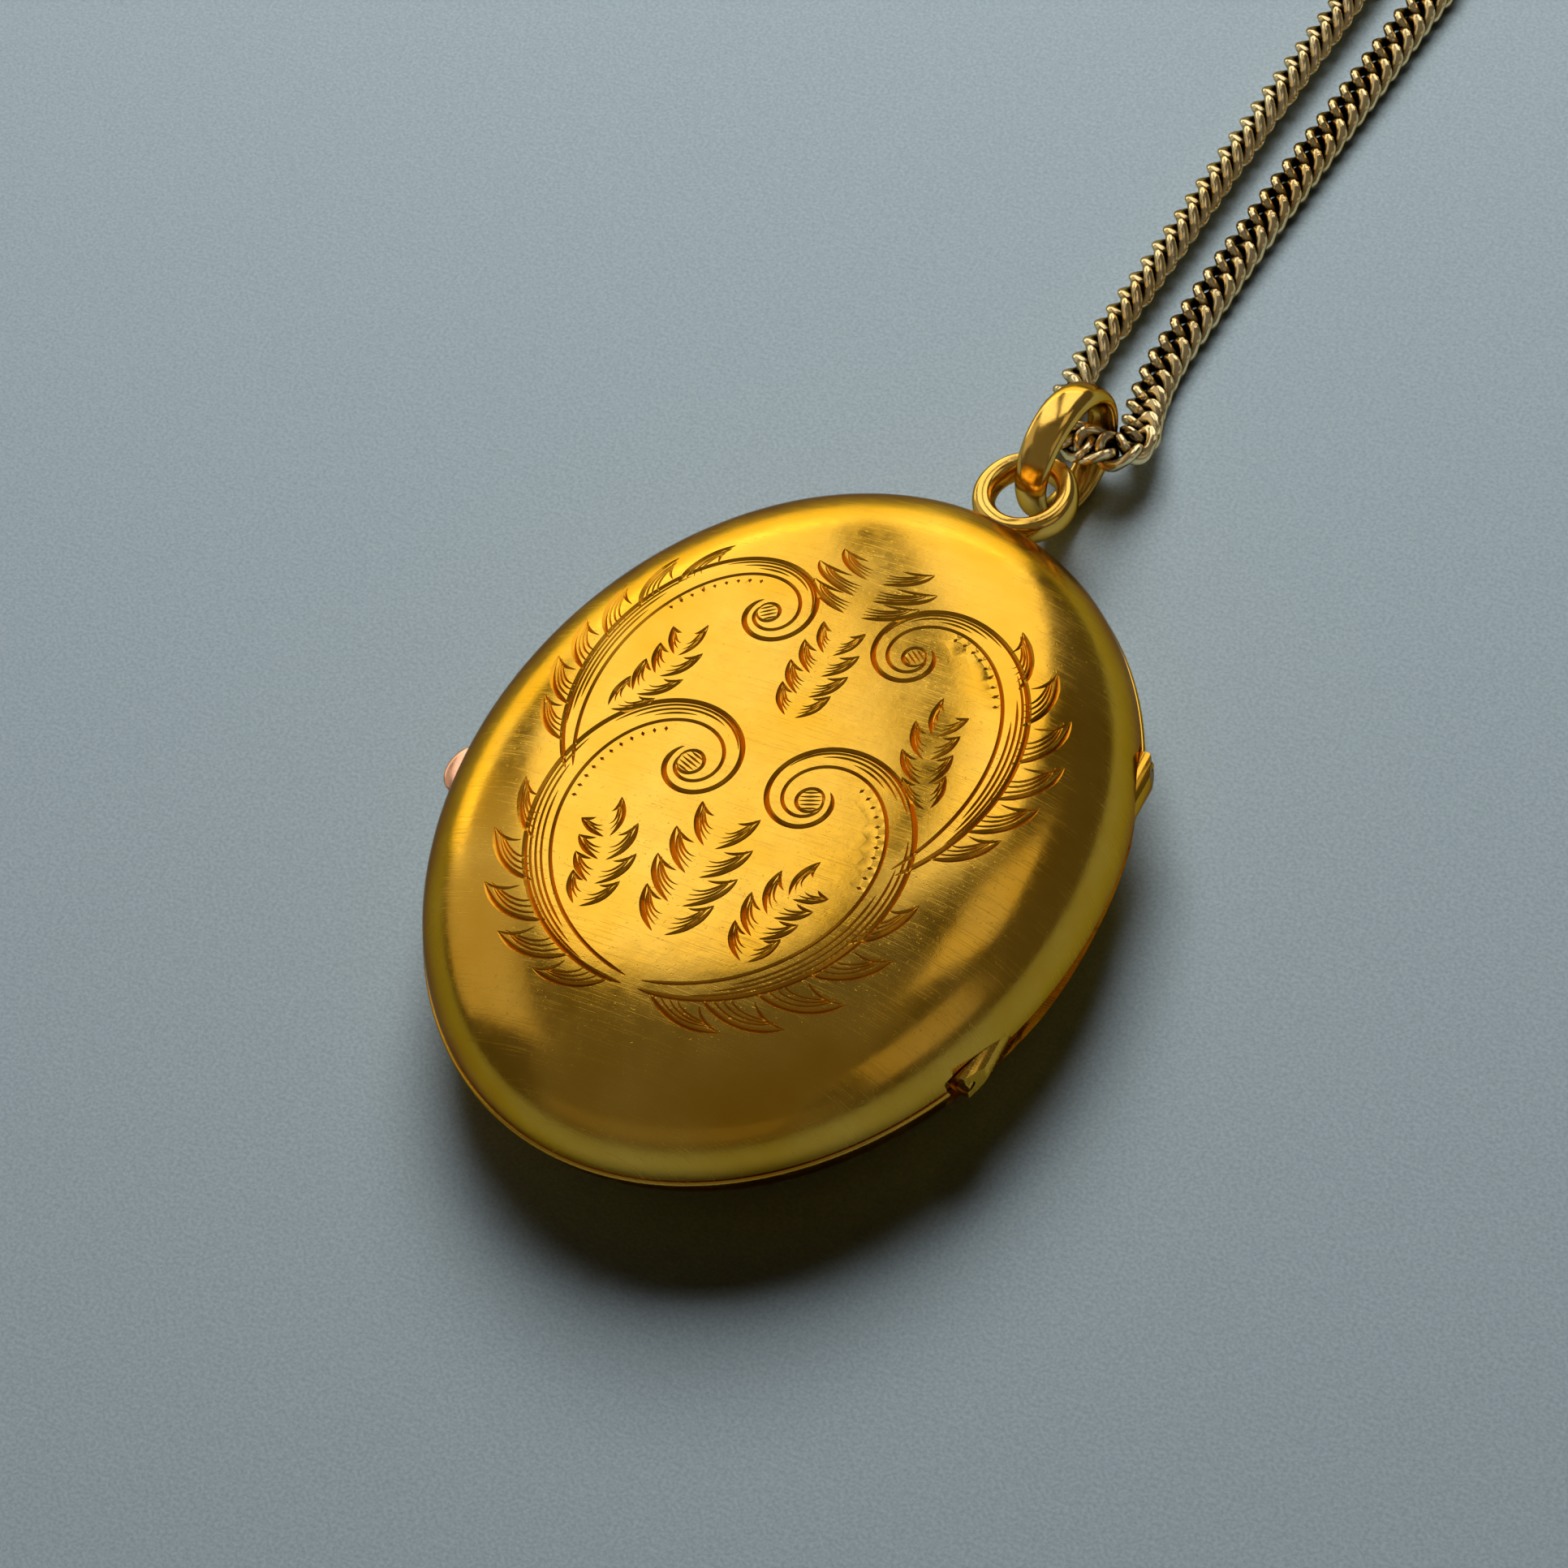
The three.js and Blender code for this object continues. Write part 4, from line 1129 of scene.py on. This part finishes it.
class Grooves:
    """All graver strokes, as constraint lines and as a depth at any place."""

    def __init__(self, strokes):
        self.points, self.edges = [], []
        places, aheads, halves = [], [], []
        for stroke in strokes:
            middle, across, half = stroke_samples(stroke)
            self.add_lines(middle, across, half)
            places.append(middle)
            aheads.append(np.stack([across[:, 1], -across[:, 0]], -1))
            halves.append(half)
        self.places, self.aheads = np.vstack(places), np.vstack(aheads)
        self.halves = np.concatenate(halves)
        self.cells = {}
        for index, cell in enumerate(map(tuple, np.floor(self.places / CELL).astype(int))):
            self.cells.setdefault(cell, []).append(index)

    def add_lines(self, middle, across, half):
        """The two edges and the bottom of one groove, meeting in a point at each end."""
        first = len(self.points)
        last = first + len(middle) - 1
        self.points += middle.tolist()
        self.edges += [(a, a + 1) for a in range(first, last)]
        for side in (1, -1):
            edge_first = len(self.points)
            self.points += (middle + side * across * half[:, None])[1:-1].tolist()
            chain = [first] + list(range(edge_first, len(self.points))) + [last]
            self.edges += list(zip(chain, chain[1:]))

    def near(self, place):
        column, row = math.floor(place[0] / CELL), math.floor(place[1] / CELL)
        found = []
        for across in (-1, 0, 1):
            for along in (-1, 0, 1):
                found += self.cells.get((column + across, row + along), ())
        return found

    def depth(self, place, clear=0.0):
        """Groove depth at a place, or with clear, whether a groove comes closer than that."""
        found = self.near(place)
        if not found:
            return 0.0
        away = place - self.places[found]
        along = np.abs((away * self.aheads[found]).sum(1))
        aside = np.sqrt(np.maximum((away ** 2).sum(1) - along ** 2, 0))
        distance = np.hypot(aside, np.maximum(along - 0.08, 0))
        return float(np.max(self.halves[found] + clear - distance)) * GRAVER_SLOPE


def engraved_surface(grooves):
    """The dome's outer face, cut by the grooves. Gives its points and faces, whether each face is in a
    groove, and the numbers of the points along the rim."""
    angle = circle_angles(RIM_COUNT)
    rim = CHART[-1] * np.stack([HALF_WIDTH * np.cos(angle), HALF_LENGTH * np.sin(angle)], -1)
    fill = fill_points(FILL_SPACING)
    fill = np.array([place for place in fill if grooves.depth(place, clear=0.1) <= 0])
    lines = to_chart(np.array(grooves.points))
    coords = [Vector(place) for place in np.vstack([rim, fill, lines]).tolist()]
    first = len(rim) + len(fill)
    edges = [(a, (a + 1) % RIM_COUNT) for a in range(RIM_COUNT)]
    edges += [(first + a, first + b) for a, b in grooves.edges]
    made = delaunay_2d_cdt(coords, edges, [], 0, 1e-5, True)
    chart = np.array([tuple(place) for place in made[0]])
    points = from_chart(chart)
    depths = np.array([max(0.0, grooves.depth(place)) for place in points[:, :2]])
    faces, in_groove = [], []
    for face in made[2]:
        corner = chart[list(face)]
        area = np.cross(corner[1] - corner[0], corner[2] - corner[0])
        if abs(area) < 1e-9:
            continue
        faces.append(tuple(face) if area > 0 else tuple(face)[::-1])
        middle = points[list(face), :2].mean(0)
        in_groove.append(grooves.depth(middle) > 0.002)
    points = points - dome_normals(points) * depths[:, None]
    order = {}
    for number, originals in enumerate(made[3]):
        for original in originals:
            order.setdefault(original, number)
    return points, faces, in_groove, [order[index] for index in range(RIM_COUNT)]


def add_front_cover(gold, cut_gold, strokes):
    """The engraved dome, closed by its plain inside and the rim between them."""
    points, faces, in_groove, rim = engraved_surface(Grooves(strokes))
    inside = dome_profile(SHEET, FRONT_RIM_Z, CROWN_Z - SHEET, steps=18)
    first = len(points)
    rings = oval_rings(inside[:-1], circle_angles(RIM_COUNT))
    points = np.vstack([points] + rings + [[0, 0, inside[-1][2]]])
    inner_faces = [face[::-1] for face in grid_faces(len(rings), RIM_COUNT, False, True, first)]
    inner_faces += fan(len(points) - 1, first + (len(rings) - 1) * RIM_COUNT, RIM_COUNT, False)
    for column in range(RIM_COUNT):
        across = (column + 1) % RIM_COUNT
        inner_faces.append((rim[column], first + column, first + across, rim[across]))
    piece = make_piece("front_engraved_shell", points, faces + inner_faces, gold, None)
    piece.data.materials.append(cut_gold)
    slots = np.zeros(len(piece.data.polygons), np.int32)
    slots[:len(in_groove)] = in_groove
    piece.data.polygons.foreach_set("material_index", slots)
    carve(piece, tool_from(*barrel_room(GUTTER_INNER)))
    carve(piece, tool_from(*nail_nick()))
    shade_engraving(piece)
    dress(piece, "front", ("front_cover",))


def shade_engraving(piece):
    """Flat facets in the grooves and the dome's own smooth normals around them."""
    mesh = piece.data
    smooth_piece(piece, 30)
    count = len(mesh.vertices)
    points = np.zeros(count * 3)
    mesh.vertices.foreach_get("co", points)
    points = points.reshape(-1, 3) / MM
    on_dome = dome_miss(points) < 2e-3
    directions = dome_normals(points)
    normals = np.zeros((len(mesh.loops), 3))
    for face in mesh.polygons:
        if face.material_index == 1:
            face.use_smooth = False
            continue
        corners = list(face.vertices)
        if on_dome[corners].all() and np.dot(directions[corners].mean(0), face.normal) > 0.6:
            loops = range(face.loop_start, face.loop_start + face.loop_total)
            normals[list(loops)] = directions[corners]
    mesh.normals_split_custom_set(normals.tolist())


# ---------------------------------------------------------------- materials

class Nodes:
    """Short words for building one node material."""

    def __init__(self, name):
        self.material = bpy.data.materials.new(name)
        self.material.use_nodes = True
        self.tree = self.material.node_tree
        self.shader = self.tree.nodes["Principled BSDF"]
        self.place = self.add("ShaderNodeTexCoord").outputs["Object"]

    def add(self, kind, **inputs):
        node = self.tree.nodes.new(kind)
        for name, value in inputs.items():
            self.put(node.inputs[name.replace("_", " ")], value)
        return node

    def put(self, socket, value):
        if isinstance(value, bpy.types.NodeSocket):
            self.tree.links.new(value, socket)
        else:
            socket.default_value = value

    def stretched(self, scale, turn=(0, 0, 0)):
        node = self.add("ShaderNodeMapping", Vector=self.place)
        node.inputs["Scale"].default_value = scale
        node.inputs["Rotation"].default_value = [math.radians(angle) for angle in turn]
        return node.outputs["Vector"]

    def noise(self, size_mm, detail=3.0, vector=None):
        """Noise whose lumps are about size_mm across."""
        scale = 1.0 if vector else 1 / (size_mm * MM)
        node = self.add("ShaderNodeTexNoise", Vector=vector or self.place, Scale=scale, Detail=detail)
        return node.outputs["Fac"]

    def ramp(self, value, low, high, to_low=0.0, to_high=1.0):
        node = self.add("ShaderNodeMapRange", Value=value)
        for name, number in zip(("From Min", "From Max", "To Min", "To Max"), (low, high, to_low, to_high)):
            node.inputs[name].default_value = number
        return node.outputs["Result"]

    def math(self, kind, first, second):
        node = self.add("ShaderNodeMath")
        node.operation = kind
        self.put(node.inputs[0], first)
        self.put(node.inputs[1], second)
        return node.outputs[0]

    def mix(self, share, first, second):
        node = self.add("ShaderNodeMix")
        node.data_type = "RGBA"
        self.put(node.inputs["Factor"], share)
        self.put(node.inputs["A"], (*first, 1) if isinstance(first, tuple) else first)
        self.put(node.inputs["B"], (*second, 1) if isinstance(second, tuple) else second)
        return node.outputs["Result"]

    def bump(self, height, depth_mm, after=None):
        node = self.add("ShaderNodeBump", Height=height, Distance=depth_mm * MM, Strength=1.0)
        if after:
            self.tree.links.new(after, node.inputs["Normal"])
        return node.outputs["Normal"]


def scratches(nodes, angles, width_mm, length_mm, keep=0.035):
    """Thin straight marks at several angles, as one value from 0 to 1."""
    along, across = 1 / (length_mm * MM), 1 / (width_mm * MM)
    total = None
    for angle in angles:
        vector = nodes.stretched((along, across, along), (0, 0, angle))
        line = nodes.noise(1, 1.0, vector)
        mark = nodes.ramp(line, 0.7 - keep, 0.7 + keep)
        total = mark if total is None else nodes.math("MAXIMUM", total, mark)
    return total


def gold_material(name, deep, bright, rough=(0.16, 0.3), marks=0.3, dents_mm=0.005, painted_recess_shade=0.0, glare=0.12):
    """Worn polished gold: slow colour and gloss changes, fine scratches and shallow dents, and optionally
    painted shade that darkens the base colour in recesses.
    """
    nodes = Nodes(name)
    clouds = nodes.ramp(nodes.noise(5.0, 4.0), 0.3, 0.7)
    haze = nodes.ramp(nodes.noise(0.7, 5.0), 0.35, 0.75)
    lines = scratches(nodes, (12, 63, 118, 161), 0.05, 3.2)
    colour = nodes.mix(clouds, deep, bright)
    roughness = nodes.math("ADD", nodes.ramp(clouds, 0, 1, *rough), nodes.math("MULTIPLY", haze, 0.07))
    roughness = nodes.math("ADD", roughness, nodes.math("MULTIPLY", lines, 0.18 * marks))
    # Painted shade: ambient occlusion darkens the base colour towards near black in narrow recesses.
    if painted_recess_shade:
        shade = nodes.add("ShaderNodeAmbientOcclusion", Distance=0.5 * MM)
        shade.samples = 6
        open_share = nodes.ramp(shade.outputs["AO"], 0.34, 0.86)
        colour = nodes.mix(open_share, tuple(channel * (1 - painted_recess_shade) for channel in deep), colour)
    nodes.put(nodes.shader.inputs["Base Color"], colour)
    nodes.put(nodes.shader.inputs["Roughness"], roughness)
    nodes.shader.inputs["Metallic"].default_value = 1.0
    nodes.shader.inputs["Specular Tint"].default_value = EDGE_TINT
    nodes.shader.inputs["Coat Weight"].default_value = glare
    nodes.shader.inputs["Coat Roughness"].default_value = 0.22
    relief = nodes.bump(nodes.noise(2.6, 2.0), dents_mm)
    relief = nodes.bump(nodes.noise(0.25, 3.0), 0.0022, relief)
    pits = nodes.math("MULTIPLY", nodes.ramp(nodes.noise(0.16, 2.0), 0.66, 0.74), clouds)
    relief = nodes.bump(pits, -0.006, relief)
    relief = nodes.bump(lines, -0.0016 * marks, relief)
    nodes.tree.links.new(relief, nodes.shader.inputs["Normal"])
    return nodes.material


def glass_material():
    nodes = Nodes("window glass")
    nodes.shader.inputs["Base Color"].default_value = (0.95, 0.97, 0.95, 1)
    nodes.shader.inputs["Transmission Weight"].default_value = 1.0
    nodes.shader.inputs["IOR"].default_value = 1.49
    smears = nodes.ramp(nodes.noise(3.0, 4.0), 0.35, 0.8, 0.01, 0.09)
    nodes.put(nodes.shader.inputs["Roughness"], smears)
    return nodes.material


def sheet_material(name, dark, pale, fibre_mm):
    """Paper or card: matt, mottled and fibrous."""
    nodes = Nodes(name)
    stain = nodes.ramp(nodes.noise(6.0, 4.0), 0.3, 0.75)
    fine = 1 / (fibre_mm * MM)
    fibres = nodes.noise(1, 3.0, nodes.stretched((1 / (fibre_mm * 5 * MM), fine, fine)))
    mottled = nodes.math("MULTIPLY", nodes.math("ADD", stain, fibres), 0.5)
    nodes.put(nodes.shader.inputs["Base Color"], nodes.mix(mottled, dark, pale))
    nodes.shader.inputs["Roughness"].default_value = 0.92
    nodes.tree.links.new(nodes.bump(fibres, 0.02), nodes.shader.inputs["Normal"])
    return nodes.material


def steel_material():
    nodes = Nodes("spring steel")
    clouds = nodes.ramp(nodes.noise(0.4, 3.0), 0.3, 0.7)
    nodes.put(nodes.shader.inputs["Base Color"], nodes.mix(clouds, (0.30, 0.29, 0.28), (0.5, 0.49, 0.47)))
    nodes.put(nodes.shader.inputs["Roughness"], nodes.ramp(clouds, 0, 1, 0.22, 0.4))
    nodes.shader.inputs["Metallic"].default_value = 1.0
    return nodes.material


# ---------------------------------------------------------------- floor and light

def add_floor():
    """A plain pale sheet with a faint paper grain."""
    nodes = Nodes("pale floor")
    grain = nodes.ramp(nodes.noise(0.17, 3.0), 0.3, 0.7)
    nodes.put(nodes.shader.inputs["Base Color"], nodes.mix(grain, (0.44, 0.55, 0.6), (0.58, 0.70, 0.75)))
    nodes.shader.inputs["Roughness"].default_value = 0.9
    nodes.tree.links.new(nodes.bump(grain, 0.008), nodes.shader.inputs["Normal"])
    signs = ((-1, -1), (1, -1), (1, 1), (-1, 1))
    corners = [(across * FLOOR_HALF, along * FLOOR_HALF, FLOOR_Z) for across, along in signs]
    mesh = mesh_from("floor", corners, [(0, 1, 2, 3)])
    mesh.materials.append(nodes.material)
    place_object("floor", mesh)


def add_light(name, direction, distance, size, power, colour=(1, 1, 1)):
    """A softbox that faces the locket from a direction."""
    light = bpy.data.lights.new(name, "AREA")
    light.shape = "RECTANGLE"
    light.size, light.size_y = size
    light.energy = power
    light.color = colour
    lamp = place_object(name, light)
    towards = Vector(direction).normalized()
    lamp.location = towards * distance
    lamp.rotation_euler = towards.to_track_quat("Z", "Y").to_euler()
    lamp.visible_camera = False
    return lamp


def add_lighting():
    """A soft window from the upper left, and dim cards and a dim room that only the metal mirrors."""
    world = bpy.data.worlds.new("studio")
    world.use_nodes = True
    background = world.node_tree.nodes["Background"]
    background.inputs["Color"].default_value = (1, 0.93, 0.8, 1)
    background.inputs["Strength"].default_value = 0.085
    world.cycles_visibility.diffuse = False
    bpy.context.scene.world = world
    bpy.context.scene.view_settings.view_transform = "Standard"
    towards_window = (-0.36, 0.66, 0.66)
    near_glow = add_light("near window glow", (-0.24, 0.62, 0.75), 0.23, (0.135, 0.135), 0.25)
    far_glow = add_light("far window glow", (-0.24, 0.62, 0.75), 3.0, (1.76, 1.76), 21.5)
    near_glow.visible_glossy = False
    far_glow.visible_glossy = False
    warm = (1, 0.92, 0.8)
    cards = [
        add_light("horizon card", (-0.68, 0.72, 0.1), 0.4, (0.6, 0.18), 0.5, (1, 0.95, 0.86)),
        add_light("left card", (-0.89, -0.02, 0.46), 0.4, (0.3, 0.3), 0.12, warm),
        add_light("right card", (0.48, 0.32, 0.82), 0.5, (0.2, 0.2), 0.07, warm),
        add_light("low right card", (0.86, -0.19, 0.45), 0.5, (0.25, 0.25), 0.05, warm),
        add_light("front card", (0.0, -0.6, 0.8), 0.5, (0.9, 0.9), 0.12, warm),
        add_light("low front card", (0.1, -0.97, 0.2), 0.5, (1.0, 0.26), 0.04, warm),
    ]
    for side in (-1, 1):
        pane = add_light("window pane", towards_window, 0.34, (0.16, 0.34), 0.24, (1, 0.98, 0.94))
        pane.location += pane.rotation_euler.to_matrix() @ Vector((0.098 * side, 0, 0))
        cards.append(pane)
    for card in cards:
        card.visible_diffuse = False


# ---------------------------------------------------------------- the object

def add_case(gold, finishes):
    """Both halves and their hinge, apart from the engraved cover."""
    add_back_cover(gold)
    for half, body in (("back", "root"), ("front", "front")):
        add_pan(half, gold, body)
        add_picture_frame(half, gold, body)
        add_layers(half, finishes, body)
    add_back_bearer(gold)
    add_front_bearer(gold)
    add_knuckles(gold)
    add_pin(gold)


def add_chains(chain_gold, steel):
    """Both strands and the clasp that joins their ends."""
    left, left_path = add_chain("left", chain_gold)
    right, right_path = add_chain("right", chain_gold)
    body = add_clasp_body(chain_gold)
    bolt = add_clasp_bolt(chain_gold)
    add_clasp_spring(steel)
    collar = add_end_ring("clasp_ring_collar", "clasp_collar", COLLAR_ANGLE, chain_gold)
    end_ring = add_end_ring("clasp_ring_end", "clasp_end_ring", COLLAR_ANGLE + 180, chain_gold)


def main():
    add_camera()
    gold = gold_material("case gold", (0.72, 0.37, 0.02), (0.86, 0.50, 0.065), rough=(0.11, 0.22),
                         marks=0.5, dents_mm=0.016)
    cut_gold = gold_material("engraved gold", (0.62, 0.26, 0.008), (0.78, 0.36, 0.02),
                             rough=(0.2, 0.3), marks=0)
    loop_gold = gold_material("loop gold", (0.82, 0.46, 0.06), (0.95, 0.62, 0.16), rough=(0.09, 0.2),
                              dents_mm=0.04)
    rose = gold_material("rose gold", (0.82, 0.40, 0.22), (0.93, 0.56, 0.38))
    # The chain gold paints shade into the recesses between links, nearly black.
    chain_gold = gold_material("chain gold", (0.84, 0.6, 0.25), (0.97, 0.8, 0.47), rough=(0.08, 0.2),
                               painted_recess_shade=0.98)
    steel = steel_material()
    finishes = {"window": glass_material(),
                "paper": sheet_material("old paper", (0.62, 0.50, 0.32), (0.80, 0.72, 0.55), 0.12),
                "card": sheet_material("backing card", (0.22, 0.14, 0.08), (0.34, 0.24, 0.14), 0.2)}
    add_chains(chain_gold, steel)
    add_case(gold, finishes)
    add_thumb_piece(rose)
    add_ring(loop_gold)
    add_ring_foot(loop_gold)
    add_bail(loop_gold)
    add_front_cover(gold, cut_gold, ornament())
    add_floor()
    add_lighting()


main()
